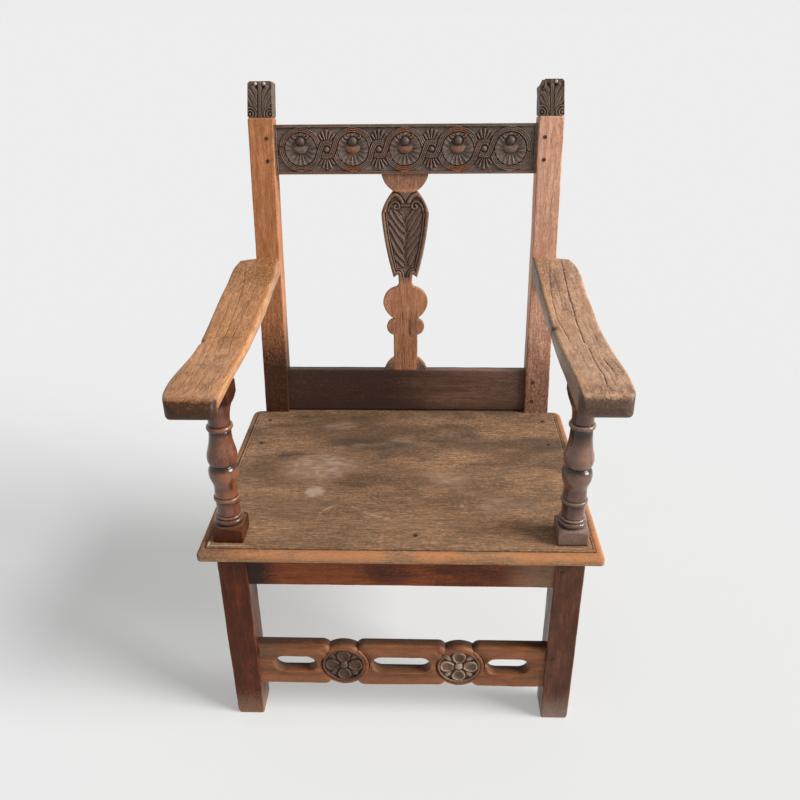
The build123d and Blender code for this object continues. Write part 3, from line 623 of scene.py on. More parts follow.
@dataclass(frozen=True)
class Oak:
    """Old oak, riven and planed by hand, then waxed and handled for centuries.

    It shows broad bands of tone along the grain, fine darker fibres, short open
    pores, long drying shakes, cloudy patches of old wax, dirt in the hollows and
    here and there a rubbed, polished arris.  Sizes are in mm.
    """

    name: str
    grain: Grain
    light: str
    heart: str
    dark: str
    grime: str = "#271a13"
    # the next three tones colour the wear, dark and pale marks: real wear, soil and dust, and on
    # some pieces a painted highlight, painted shade and painted light
    rubbed: str = "#a8714c"
    soil_and_painted_shade: str = "#3b2c24"
    dust_and_painted_light: str = "#b39c85"
    band: float = 13.0  # width of the bands of tone
    fibre: float = 1.7  # drawn coarser than the real 0.3 mm vessels, so that it shows
    figure: float = 0.8  # how strongly bands and fibres show, 0 to 1
    shakes: float = 0.4  # how many drying cracks show, 0 to 1
    cloud: float = 0.35  # how far tone drifts
    cloud_size: float = 62.0  # width of the patches of old wax
    mottle: float = 0.35  # how far small patches darken
    pepper: float = 0.16  # how far fine specks of dirt darken
    rub: float = 0.5
    dirt: float = 0.85
    shine: float = 0.2  # worn wax mirrors less than a fresh film
    gloss: float = 0.42  # roughness of the wax
    coat: float = 0.12

    def material(self) -> bpy.types.Material:
        """Builds the finish as a material, once."""
        made = bpy.data.materials.get(self.name)
        if made:
            return made
        made = bpy.data.materials.new(self.name)
        s = Shader.of(made)
        axis, lean = self.grain.value
        place = s.add("TexCoord", {}).outputs["Object"]
        place = s.add("Mapping", {"Vector": place, "Rotation": (lean, 0.0, 0.0)}).outputs[0]

        def drawn(width: float, stretch: float, detail: float, distortion: float = 0.0) -> object:
            """Draws noise of a width, stretched along the grain."""
            size = [1.0 / (width * MM)] * 3
            size[axis] /= stretch
            space = s.add("Mapping", {"Vector": place, "Scale": size}).outputs[0]
            return s.noise(space, 1.0, detail, distortion)

        def soft(noise: object, low: float, high: float) -> object:
            """Spreads noise softly from 0 at low to 1 at high."""
            return s.spread(noise, low, high, kind="SMOOTHSTEP")

        def broken(mark: str, coarse: object, share: float) -> object:
            """Reads a mark of the mesh and breaks up its rim with a coarse pattern."""
            read = s.add("Attribute", {}, attribute_name=mark).outputs["Fac"]
            return s.spread(s.math("MULTIPLY_ADD", coarse, 0.32, read), 0.24, 1.1, share)

        # tone bands, fibres, open pores, old wax, small patches and fine dirt
        bands = soft(drawn(self.band, stretch=12.0, detail=3.0, distortion=0.5), 0.32, 0.68)
        fibres = soft(drawn(self.fibre, stretch=20.0, detail=3.0), 0.34, 0.66)
        pores = soft(drawn(1.1, stretch=11.0, detail=1.0), 0.6, 0.7)
        clouds = soft(drawn(self.cloud_size, stretch=1.8, detail=5.0), 0.36, 0.64)
        patches = soft(drawn(17.0, stretch=1.6, detail=4.0), 0.34, 0.66)
        grit = soft(drawn(3.4, stretch=1.6, detail=4.0), 0.3, 0.7)
        # drying cracks: the thin places where noise crosses its middle, found here and there
        lines = drawn(10.0, stretch=26.0, detail=1.5)
        off = s.math("ABSOLUTE", s.math("SUBTRACT", lines, 0.5), 0.0)
        opened = soft(drawn(34.0, stretch=4.0, detail=2.0), 0.64 - 0.2 * self.shakes, 0.72)
        shake = s.math("MULTIPLY", s.spread(off, 0.012, 0.0), opened)

        tone = s.math("MULTIPLY_ADD", bands, 0.42 * self.figure, 0.5 - 0.5 * self.figure)
        tone = s.plus(tone, fibres, 0.58 * self.figure)
        ramp = s.ramp(tone, (0.1, self.dark), (0.92, self.light))
        ramp.color_ramp.elements.new(0.5).color = linear(self.heart)
        colour = ramp.outputs[0]
        for over, share in (
            (self.soil_and_painted_shade, s.math("MULTIPLY", clouds, self.cloud)),
            (self.dark, s.math("MULTIPLY", patches, self.mottle)),
            (self.grime, s.math("MULTIPLY", grit, self.pepper)),
            # pale, wear and dark marks: real dust, wear and soil, and on some pieces painted light,
            # a painted highlight and painted shade
            (self.dust_and_painted_light, broken("pale", grit, 0.8)),
            (self.rubbed, broken("wear", patches, self.rub)),
            (self.soil_and_painted_shade, broken("dark", grit, 0.95)),
            (self.grime, broken("dirt", grit, self.dirt)),
            (self.grime, s.math("MULTIPLY", pores, 0.3)),
            (self.grime, s.math("MULTIPLY", shake, 0.85)),
        ):
            links = {0: share, 6: colour, 7: linear(over)}
            colour = s.add("Mix", links, data_type="RGBA").outputs[2]

        dull = s.plus(s.math("MULTIPLY_ADD", clouds, 0.14, self.gloss), pores, 0.12)
        height = s.math("MULTIPLY", fibres, 0.3 * self.figure)
        for part, share in ((grit, 0.25), (patches, 0.35), (pores, -0.3), (shake, -1.2)):
            height = s.plus(height, part, share)
        handled = s.add("Attribute", {}, attribute_name="polish").outputs["Fac"]
        s.close(height, 0.5, 0.6, {
            "Base Color": colour, "Roughness": dull, "IOR": 1.45, "Specular IOR Level": self.shine,
            "Coat Weight": s.math("MULTIPLY", handled, self.coat), "Coat Roughness": 0.12,
        })
        return made


@dataclass(frozen=True)
class Iron:
    """Hand-forged nail iron, rusted brown-black: rough, with lighter rust blooms."""

    name: str = "forged_iron_rusted"
    scale: str = "#2b2320"
    rust: str = "#5a3a28"

    def material(self) -> bpy.types.Material:
        """Builds the finish as a material."""
        made = bpy.data.materials.new(self.name)
        s = Shader.of(made)
        blooms = s.noise(s.add("TexCoord", {}).outputs["Object"], 1 / (1.5 * MM), 4.0)
        tone = s.ramp(blooms, (0.42, self.scale), (0.66, self.rust)).outputs[0]
        s.close(blooms, 0.6, 0.4, {"Base Color": tone, "Roughness": 0.62, "Metallic": 0.35})
        return made


# --------------------------------------------------------------- setting out
def put(name: str, data: bpy.types.ID) -> bpy.types.Object:
    """Adds an object to the scene."""
    made = bpy.data.objects.new(name, data)
    bpy.context.scene.collection.objects.link(made)
    return made


@dataclass(frozen=True)
class Chair:
    """The places that every piece is set out from, in mm."""

    front_y: float
    back_y: float
    leg_inner: float
    leg_outer: float
    post_inner: float
    post_outer: float
    leg_depth: float
    seat: float
    rail_top: float
    low: tuple[float, ...]
    high: tuple[float, ...]
    post_depth: float = 44
    lean: float = RAKE

    @classmethod
    def measured(cls) -> "Chair":
        """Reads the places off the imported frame."""
        low, high = (np.array(corner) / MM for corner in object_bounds())
        leg, post = (np.array(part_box(f"{end}_post_right")) / MM for end in ("front", "rear"))
        return cls(
            front_y=leg[0, 1], back_y=post[0, 1], leg_inner=leg[0, 0], leg_outer=leg[1, 0],
            post_inner=post[0, 0], post_outer=post[1, 0], leg_depth=leg[1, 1] - leg[0, 1],
            seat=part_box("seat_plank_front")[1][2] / MM,
            rail_top=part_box("front_seat_rail")[1][2] / MM, low=tuple(low), high=tuple(high),
        )

    def back_face(self, across: float = 0, up: float = 0, out: float = 0) -> Face:
        """Gives the raked plane on the front of the rear posts, moved across, up and out."""
        rise = (0, math.sin(self.lean), math.cos(self.lean))
        plane = Face((0, self.back_y, self.seat), up=rise)
        return Face(tuple(plane.set(np.array([across, up, out]))), up=rise)

    def make(self, name: str, surface: Surface, finish: Oak | Iron, slot: str,
             *nodes: str) -> bpy.types.Object:
        """Turns a surface into a finished piece that stands for nodes of the frame.

        Args:
            name: the piece's name.
            surface: its skin, in mm.
            finish: what it is made of.
            slot: the record's slot for that finish; not used.
            nodes: the nodes that it stands for.

        Returns:
            The new object.
        """
        points = np.clip(surface.points, self.low, self.high) * MM
        mesh = bpy.data.meshes.new(name)
        mesh.from_pydata(points.tolist(), [], surface.faces.tolist())
        mesh.shade_smooth()
        mesh.set_sharp_from_angle(angle=math.radians(50))
        for mark, values in surface.marks.items():
            held = mesh.attributes.new(mark, "FLOAT", "POINT")
            held.data.foreach_set("value", np.clip(values, 0, 1).astype(np.float32))
        mesh.materials.append(finish.material())
        made = put(name, mesh)
        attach(made, "root")
        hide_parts(*nodes)
        LOG.info("%s: %d points, stands for %s", name, len(points), ", ".join(nodes))
        return made


# -------------------------------------------------------------- front posts
@dataclass
class FrontPost:
    """A front leg that goes on up through the seat as a turned arm support."""

    chair: Chair
    side: int
    top_block: float
    lean_in: float
    lift: float  # how much higher the upper turning sits on this post
    dust: float
    base_block: float = 30
    height: float = 291
    shoulder: float = 6
    shoulder_slope: float = 2.1
    neck: float = 25.5  # radius where a shoulder starts
    uncut: float = 42  # a radius past the block's corners
    arris_wear: float = 2.4
    knots: Line = (
        (30, 21), (42, 20.8), (58, 19.8), (74, 20.2), (84, 20.4), (100, 19.6),
        (107, 20.2), (114, 22.2), (122, 24.8), (131, 25.6), (138, 24.6),
        (142.5, 22), (144.8, 19.4), (146.6, 20.8), (152, 24.2), (160, 25.5),
        (168, 25), (178, 22.6), (190, 20), (202, 18.8), (214, 18.4),
        (226, 18.2), (238, 18.5), (250, 20.4), (262, 23.6), (270, 25.2),
    )
    beads: tuple[tuple[float, float, float], ...] = (
        (31, 41, 25.7), (41.6, 46.5, 23), (75, 83, 23.2), (212.5, 221.5, 22.2),
    )
    dirty: Line = ((144, 1), (36, 0.6), (73, 0.5), (212, 0.6), (266, 0.7))

    def turned(self, level: Array) -> Array:
        """Gives the radius that the lathe left at levels above the seat."""
        level = level - self.lift * span(level, 175, 214, 250, 272)
        line = smooth_line(self.knots)
        body = np.interp(level, line[:, 0], line[:, 1])
        for low, high, crown in self.beads:
            t = (level - (low + high) / 2) / ((high - low) / 2)
            quirk = 1.1 * scratch((np.abs(t) - 1) * (high - low) / 2, 1.2)
            swell = body + (crown - body) * ridge(t, 1)
            body = np.where(np.abs(t) < 1, np.maximum(body - quirk, swell), body - quirk)
        below, above = self.base_block - level, level - self.height + self.top_block
        cone = self.neck + self.shoulder_slope * np.maximum(below, above)
        body = np.where((below >= 0) | (above > 0), cone, body)
        return np.where(below >= self.shoulder, self.uncut, body)

    def build(self, finish: Oak) -> None:
        """Builds the post."""
        c = self.chair
        block = c.seat + self.base_block
        top = c.seat + self.height
        z = stations(
            (0, 12, 1.5), (12, block - 10, 7), (block - 10, top - self.top_block + 8, 0.75),
            (top - self.top_block + 8, top, 1.5),
        )
        seed = 40 + self.side
        half_x, half_y = (c.leg_outer - c.leg_inner) / 2, c.leg_depth / 2
        foot = 1.2 * ease(7, 0, z)
        edge = rubbed(z, self.arris_wear, seed) + 2 * ease(14, 0, z)[:, None]
        rings = bar_rings(half_x - foot, half_y - foot, edge, 14)
        limit = self.turned(z - c.seat)[:, None]
        rings = rings * np.minimum(1, limit / np.linalg.norm(rings, axis=-1))[..., None]
        lean = self.side * self.lean_in * ease(c.seat + 120, top - 20, z)
        rings[..., 0] += self.side * (c.leg_inner + half_x) - lean[:, None]
        rings[..., 1] += c.front_y + half_y
        post = skin(run_out(rings, z))
        post.roughen(0.28, (60, 60, 70), seed).roughen(0.1, 9, seed + 5)
        self.dust_and_painted_shading(post.age(depth=0.3, passes=6, seed=seed, rub=0.7))
        name = SIDES[self.side]
        c.make(f"post_{name}", post, finish, "oak", f"front_post_{name}")

    def dust_and_painted_shading(self, post: Surface) -> None:
        """Lays dust on the turning's upward shoulders, painted shade under the seat and arm, and
        painted light and shade on the blocks.
        """
        p = post.points
        level = p[:, 2] - self.chair.seat
        turning = span(level, 26, 32, 264, 272)
        dust = turning * np.clip(post.normals()[:, 2], 0, 1)
        post.mark(pale=self.dust * (dust + 0.22 * turning) + 0.75 * ease(80, 0, p[:, 2]))
        waists = 0.5 * turning * ease(21.4, 19, self.turned(level))
        # the narrow waists darker, and painted shade on the leg just under the seat
        post.mark(dark=waists + 0.7 * ease(-60, 0, level) * (level < 5))
        for low, strength in self.dirty:
            post.mark(dark=strength * scratch(level - low, 7))
        # painted shade on the top block, under the arm; the turning is waxed
        post.mark(dark=0.5 * ease(268, 274, level), polish=0.12 + turning)
        # painted light on the right post's base block, which faces the key light, and painted shade
        # on the left one's
        right = self.side > 0
        block = span(level, -4, 2, 28, 32)
        post.mark(pale=0.6 * block * right, dark=0.2 * block * (not right))
        rubbed_most = ease(-0.5, 0.4, wander(p, 24, 47))
        post.mark(wear=(0.3 if right else 0.85) * turning * rubbed_most)


# --------------------------------------------------------------- rear posts
@dataclass
class RearPost:
    """A rear post: upright foot, raked upper part and a carved leafy head."""

    chair: Chair
    side: int
    chip: float  # how far the inner top corner of the head is broken away
    length: float = 702
    head: float = 69.5
    groove: float = 2.5
    bevel: float = 3.5
    lean_in: float = 3.4
    sink: float = 3.4
    leaves: tuple[tuple[Line, float], ...] = (
        (((5, 10), (8.5, 24), (15, 38), (23.5, 50)), 6.2),
        (((4, 32), (7.5, 46), (14.5, 58)), 5),
        (((13, 21), (19, 26.5), (25, 36)), 3.6),
    )

    def rings(self, up: Array, seed: int, per_side: int, raked: bool) -> Array:
        """Lays the rings of one run of the post.

        Args:
            up: stations along the run, measured from the seat.
            seed: picks the wear of its arrises.
            per_side: points on each flat.
            raked: whether the run leans.

        Returns:
            Rings of places across and along the depth.
        """
        c = self.chair
        half = np.ones(len(up)) * (c.post_outer - c.post_inner) / 2
        deep = np.ones(len(up)) * c.post_depth / 2
        if raked:
            away = np.abs(up - self.length + self.head) / self.groove
            cut = self.groove * np.clip(1 - away, 0, 1)
            cut += np.clip(up - (self.length - self.bevel), 0, None)
            half, deep = half - cut, deep - cut
        foot = 1.8 * ease(-c.seat + 9, -c.seat, up)
        section = bar_rings(half - foot, deep - foot, rubbed(up, 2.4, seed), per_side)
        fuller = 1.7 * ease(430, 60, up)[:, None] * (section[..., 0] * self.side < 0)
        section[..., 0] -= self.side * fuller
        return section

    def build(self, finish: Oak, head_finish: Oak) -> None:
        """Builds the post and its head."""
        c = self.chair
        name = SIDES[self.side]
        seed = 60 + 5 * self.side
        middle = self.side * (c.post_inner + c.post_outer) / 2
        deep = c.post_depth / 2
        low = stations((-c.seat, -c.seat + 12, 1.5), (-c.seat + 12, -8, 9))
        section = self.rings(low, seed, 12, False)
        foot = run_out(section * [1, -1] + [middle, c.back_y + deep], c.seat + low)
        start = self.length - self.head
        high = stations((6, start - 6, 9), (start - 6, start, 0.8))
        section = self.rings(high, seed + 1, 12, True)
        flat = run_out(section, high)[..., [0, 2, 1]]
        post = skin(np.concatenate([foot, c.back_face(middle, 0, -deep).set(flat)]))
        post.roughen(0.35, (70, 70, 90), seed).age(depth=0.25, passes=3, seed=seed, rub=0.4)
        z = post.points[:, 2]
        # painted shade on the post near the seat and up towards the arm, heavier on the left post;
        # the foot is darker towards the floor
        grime = (1.2 if self.side < 0 else 0.75) * span(z - c.seat, -40, 0, 30, 290)
        post.mark(dark=grime + 0.35 * ease(c.seat, 0, z))
        c.make(f"rear_post_{name}", post, finish, "oak", f"rear_post_{name}")
        self.build_head(name, middle, seed + 2, head_finish)

    def build_head(self, name: str, middle: float, seed: int, finish: Oak) -> None:
        """Builds the leafy head.

        Args:
            name: left or right.
            middle: the middle of the post, across the chair.
            seed: picks its unevenness.
            finish: what it is made of.
        """
        c = self.chair
        deep = c.post_depth / 2
        up = stations((self.length - self.head - 0.4, self.length, 0.9))
        section = self.rings(up, seed, 52, True)
        x, out = section[..., 0], section[..., 1]
        level = np.broadcast_to((up - self.length + self.head)[:, None], x.shape)
        front = ease(deep - 4.5, deep - 3, out) * ease(25.2, 23.5, np.abs(x))
        flank = ease(24, 25, np.abs(x)) * ease(deep - 1, deep - 5, np.abs(out))
        wavy = 1.1 * np.sin(level / 4.6) * flank * ease(3, 8, level)
        out = out + front * self.leafage(x, level)
        t = level / self.head
        broken = self.chip * ease(self.head - 34, self.head, level)
        broken = broken * ease(14.5, 17.5, -self.side * x)
        shifted = x * (1 - 0.045 * t) - np.sign(x) * np.clip(wavy, 0, None)
        flat = np.stack([shifted - self.side * self.lean_in * t, level - broken, out], -1)
        face = c.back_face(middle, self.length - self.head, -deep)
        head = skin(face.set(flat)).roughen(0.2, 14, seed + 1)
        head.age(depth=0.6, passes=4, seed=seed, rub=1.1)
        parts = [head]
        for k in (-8.6, 8.6):
            if k * self.side < 0 and self.chip:
                continue
            place = c.back_face(middle + k - self.side * self.lean_in, self.length - 5, -2.2)
            parts.append(dome(radius=3.4, rise=3, count=9).moved(place).mark(pale=0.9))
        c.make(f"post_head_{name}", joined(parts), finish, "oak", f"rear_post_{name}")

    def leafage(self, x: Array, level: Array) -> Array:
        """Carves leaves that rise beside a stem, with scrolls in the lower corners."""
        spread = np.abs(x)
        face = np.full(x.shape, -self.sink)
        for line, half in self.leaves:
            away = reach(spread, level, smooth_line(line, 6))
            blade = 3.2 * ridge(away, half) - 0.9 * scratch(away, 1)
            face = np.maximum(face, -self.sink + blade)
        stem = -self.sink + 3 * ridge(spread, 4.2) - 1.2 * scratch(spread, 0.9)
        stem = stem * ease(74, 60, level) - 2 * ease(60, 66, level)
        face = np.where(spread < 4.8, stem, face)
        # a scroll in each lower corner, and a bored hollow under each knob
        eye = np.hypot(spread - 20.5, level - 7.5)
        coil = np.maximum(ridge(eye - 12, 2.2), ridge(eye - 6.6, 1.9))
        face = np.where(eye < 14.4, -self.sink + 2.9 * np.maximum(coil, ridge(eye, 3.2)), face)
        hollow = np.hypot(spread - 8.6, level - self.head + 11)
        face = face - 2.6 * ridge(hollow, 4.2)
        rim = span(level, 0.8, 2.4, self.head - 2.5, self.head - 0.2)
        return face * rim - 0.2


# ------------------------------------------------------------- rails of the seat
@dataclass
class SeatFrame:
    """The four rails that carry the seat."""

    chair: Chair
    height: float = 72
    thick: float = 28
    front_setback: float = 3
    side_setback: float = 6
    wear: float = 1.8

    def build(self, front: Oak, sides: Oak) -> None:
        """Builds the rails."""
        c = self.chair
        mid = c.rail_top - self.height / 2
        size = (self.height, self.thick)
        y = c.front_y + self.front_setback + self.thick / 2
        end = c.leg_inner + TENON
        rail = bar(Face((0, y, mid)), (-end, end), size, self.wear, seed=11)
        x, z = rail.points[:, 0], rail.points[:, 2]
        rail.mark(dark=ease(-195, -262, x) + 0.45 * span(x, 10, 90, 150, 230))
        rail.mark(dark=0.5 * spot(x, z, (-20, mid - 8, 60, 22, 1)))
        rubbed_most = spot(x, z, (-120, mid, 70, 30, 1))
        rail.mark(pale=0.5 * ease(150, 240, x), wear=0.5 * rubbed_most)
        c.make("front_rail", rail, front, "oak", "front_seat_rail")
        start, stop = c.front_y + c.leg_depth - TENON, c.back_y + TENON
        for side, name in SIDES.items():
            x = side * (c.leg_outer - self.side_setback - self.thick / 2)
            face = Face((x, 0, mid), across=(0, 1, 0))
            rail = bar(face, (start, stop), size, self.wear, seed=14 + side)
            c.make(f"side_rail_{name}", rail, sides, "oak", f"side_seat_rail_{name}")
        end = c.post_inner + TENON
        face = Face((0, c.back_y + c.post_depth / 2, mid))
        rail = bar(face, (-end, end), size, self.wear, seed=18)
        c.make("rear_rail", rail, front, "oak", "rear_seat_rail")


# ------------------------------------------------------------------ the seat
@dataclass
class Seat:
    """Two planks with a moulded edge, nailed down and notched round the rear posts."""

    chair: Chair
    thick: float = 23
    overhang: float = 26
    nose: float = 27
    step: float = 3
    inset: float = 15
    upper: float = 9
    under: float = 4
    corner: float = 7
    back_corner: float = 18
    play: float = 0.4
    joint: float = 267
    skew: float = 3.5
    columns: int = 112
    edge_rows: tuple[float, ...] = (
        0, 0.2, 0.7, 1.6, 2.8, 4.2, 6, 8, 10.5, 12.8, 13.8, 14.4, 15, 15.6, 16.4, 17.6,
        18.3, 18.9, 19.5, 20.6, 23, 26,
    )
    near_joint: tuple[float, ...] = (0, 0.5, 1.4, 3)
    dark_spots: tuple[tuple[float, ...], ...] = (  # x, y from the front posts, half sizes, strength
        (-246, 291.5, 13, 5, 1.3), (-205, 299, 46, 3.5, 0.7), (-88, 200, 60, 26, 0.55),
        (170, 195, 55, 28, 0.6), (-103, 91, 70, 20, 0.6), (-73, 334, 80, 26, 0.5),
        (175, 264, 90, 3, 0.8), (10, 276, 60, 2.5, 0.7), (-285, 250, 50, 60, 0.55),
        (-140, 60, 40, 4, 0.8), (240, 60, 60, 30, 0.45), (60, 355, 60, 5, 0.6),
        (300, 330, 34, 8, 0.6), (0, 470, 330, 26, 0.35), (-300, 342, 12, 8, 0.8),
        (31, 29, 13, 9, 0.7), (100, 130, 70, 22, 0.4), (-20, 150, 60, 16, 0.4),
    )
    pale_spots: tuple[tuple[float, ...], ...] = (
        (-167, 160, 20, 19, 1.5), (-168, 254, 85, 60, 0.62), (-10, 345, 40, 24, 0.55),
        (-144, 420, 44, 20, 0.5), (83, 211, 50, 24, 0.32), (197, 119, 60, 30, 0.3),
        (-200, 105, 50, 26, 0.18), (150, 330, 60, 20, 0.22), (20, 60, 120, 20, 0.2),
        (-96, 330, 60, 18, 0.5),
    )
    scratches: tuple[Line, ...] = (
        ((-147, 92), (-137, 106), (-118, 118)), ((-92, 112), (-62, 92), (-20, 74)),
        ((-70, 96), (-40, 78)), ((112, 118), (118, 104)),
    )

    def half_width(self, y: Array) -> Array:
        """Gives half the width of the seat at places from front to back."""
        c = self.chair
        full = c.leg_outer + self.overhang
        end = c.back_y + self.inset
        front_round = arris(self.corner, y - c.front_y + self.nose)
        return full - front_round - arris(self.back_corner, end - y)

    def outline(self) -> Array:
        """Draws the moulded edge from the back left round the front to the back right."""
        c = self.chair
        full, front, end = c.leg_outer + self.overhang, c.front_y - self.nose, c.back_y + self.inset
        bow, back, near = 1 - math.sqrt(0.5), self.back_corner, self.corner
        right = np.vstack([
            [(c.post_outer + self.play, end)],
            arc((full - back, end), (full, end - back), bow * back),
            arc((full, front + near), (full - near, front), bow * near),
        ])
        return np.vstack([right * [-1, 1], right[::-1]])

    def top(self, x: Array, y: Array, inside: Array) -> Array:
        """Gives the height of the seat, 0 at its uncut face, at a depth from its edge."""
        lower = -self.step - arris(self.upper, inside)
        rise = ease(self.inset - 0.9, self.inset + 0.5, inside)
        quirk = 0.7 * scratch(inside - self.inset + 1.2, 0.9)
        line = 0.8 * scratch(inside - 18.9, 0.8)
        wear = 0.5 * ripple(x, y, (150, 60, 1), 5) + 0.25 * ripple(x, y, (50, 9, 1), 6)
        return lower * (1 - rise) + (wear - 0.5) * ease(15, 26, inside) - quirk - line

    def joint_line(self, x: Array) -> Array:
        """Gives y of the joint between the planks."""
        return self.chair.front_y + self.joint - x * math.tan(math.radians(self.skew))

    def plank(self, moulded: bool) -> Surface:
        """Lays out one plank: the moulded front one, or the one behind the joint."""
        c = self.chair
        notch = c.post_outer + self.play
        full = c.leg_outer + self.overhang
        rows = np.append(self.edge_rows, full - notch)
        share = 1 - rows / rows[-1]
        middle = notch * np.linspace(-1, 1, self.columns)[1:-1]
        seam_x = np.concatenate([rows - full, middle, full - rows[::-1]])
        gap = 0.4 * (-1 if moulded else 1)
        seam = self.joint_line(seam_x)[None] + gap
        near = np.array(self.near_joint)[:, None]
        if moulded:
            lead, tail = c.front_y - self.nose + rows[:, None] + 0 * seam, seam - near[::-1]
        else:
            lead, tail = seam + near, c.back_y + self.inset - rows[::-1, None] + 0 * seam
        t = np.linspace(0, 1, 58)[1:-1, None]
        y = np.concatenate([lead, lead[-1:] + t * (tail[:1] - lead[-1:]), tail])
        wing = (self.half_width(y)[:, :1] - notch) * share[None]
        centre = middle[None] + 0 * y[:, :1]
        x = np.concatenate([-notch - wing, centre, notch + wing[:, ::-1]], axis=1)
        inside = reach(x, y, self.outline())
        inside = inside + 0.35 * ripple(x, y, 24, 8) * ease(0, 3, inside)
        seam_gap = np.minimum(np.abs(y - self.joint_line(x)), 4)
        top = c.seat + self.top(x, y, inside) - arris(1.2, seam_gap)
        under = c.seat - self.thick + arris(self.under, inside)
        quads = np.roll(grid(x)[:, ::-1], 1, axis=1)
        x, y, top, under = x.ravel(), y.ravel(), top.ravel(), under.ravel()
        posts = (y[quads].mean(axis=1) > c.back_y) & (np.abs(x[quads].mean(axis=1)) < notch)
        return board(x, y, top, under, quads[~posts])

    def stain(self, plank: Surface) -> Surface:
        """Adds the seat's stains, pale scuffs and rubbed nosing."""
        c = self.chair
        p = plank.points
        x, y = p[:, 0], p[:, 1] - c.front_y
        inside = reach(x, p[:, 1], self.outline())
        upper = ease(c.seat - 12, c.seat - 4, p[:, 2])
        ragged = 0.75 + 0.5 * ripple(x, y, (24, 10, 1), 35)
        for place in self.dark_spots:
            plank.mark(dark=0.85 * upper * spot(x, y, place) * ragged)
        dusty = 0.45 + 0.75 * ease(-0.3, 0.6, ripple(x, y, (9, 5, 1), 31))
        for place in self.pale_spots:
            plank.mark(pale=upper * spot(x, y, place) * dusty)
        for line in self.scratches:
            plank.mark(pale=0.9 * upper * scratch(reach(x, y, smooth_line(line)), 1.6))
        chalk = ease(-250, -275, x) * scratch(inside - 18.9, 1.2) * (y < 20)
        plank.mark(pale=1.1 * upper * chalk)
        cloud = ripple(x, y, (120, 50, 1), 32) + 0.6 * ripple(x, y, (46, 20, 1), 33)
        deeper = 0.36 * ease(160, 420, y) - 0.45 * ease(170, 0, y)
        plank.mark(dark=upper * (0.5 * ease(-0.1, 1, cloud) + deeper))
        nosing = ease(16.5, 11, inside) * ease(c.seat - 22, c.seat - 14, p[:, 2])
        patchy = ease(-0.6, 0.5, ripple(x, y, (60, 30, 1), 36))
        plank.mark(wear=0.85 * nosing * (0.35 + 0.65 * patchy))
        plank.mark(dark=0.6 * nosing * ease(-190, -330, x) * (y < 10))
        return plank

    def build(self, finish: Oak, iron: Iron) -> None:
        """Builds both planks and the nail heads."""
        c = self.chair
        half = c.post_inner - self.play
        place = Face((0, c.back_y + c.post_depth / 4 - 0.5, c.seat - self.thick / 2 - 0.35))
        size = (self.thick - 0.7, c.post_depth / 2 + 1)
        tongue = bar(place, (-half, half), size, radius=0.8, seed=25)
        fore = self.plank(True).age(depth=0.5, passes=5, seed=26, rub=0.15)
        rear = self.plank(False).age(depth=0.5, passes=5, seed=27, rub=0.15)
        for name, plank in (("front", fore), ("rear", joined([rear, tongue]))):
            c.make(f"seat_{name}", self.stain(plank), finish, "seat_oak", f"seat_plank_{name}")
        rows = (c.front_y + self.joint + 76, c.back_y - 40)
        # one nail near the front edge, two over the middle of each side rail
        places = [(side * (c.leg_outer - 20), y) for side in SIDES for y in rows]
        heads = [
            dome(radius=4.6, rise=1.6, count=8).moved(Face((x, y, c.seat - 0.4), up=(0, 1, 0)))
            for x, y in [(28, c.front_y + 26), *places]
        ]
        heads = [head.roughen(0.3, 3, 28) for head in heads]
        c.make("nail_heads", joined(heads), iron, "iron", "seat_nails")


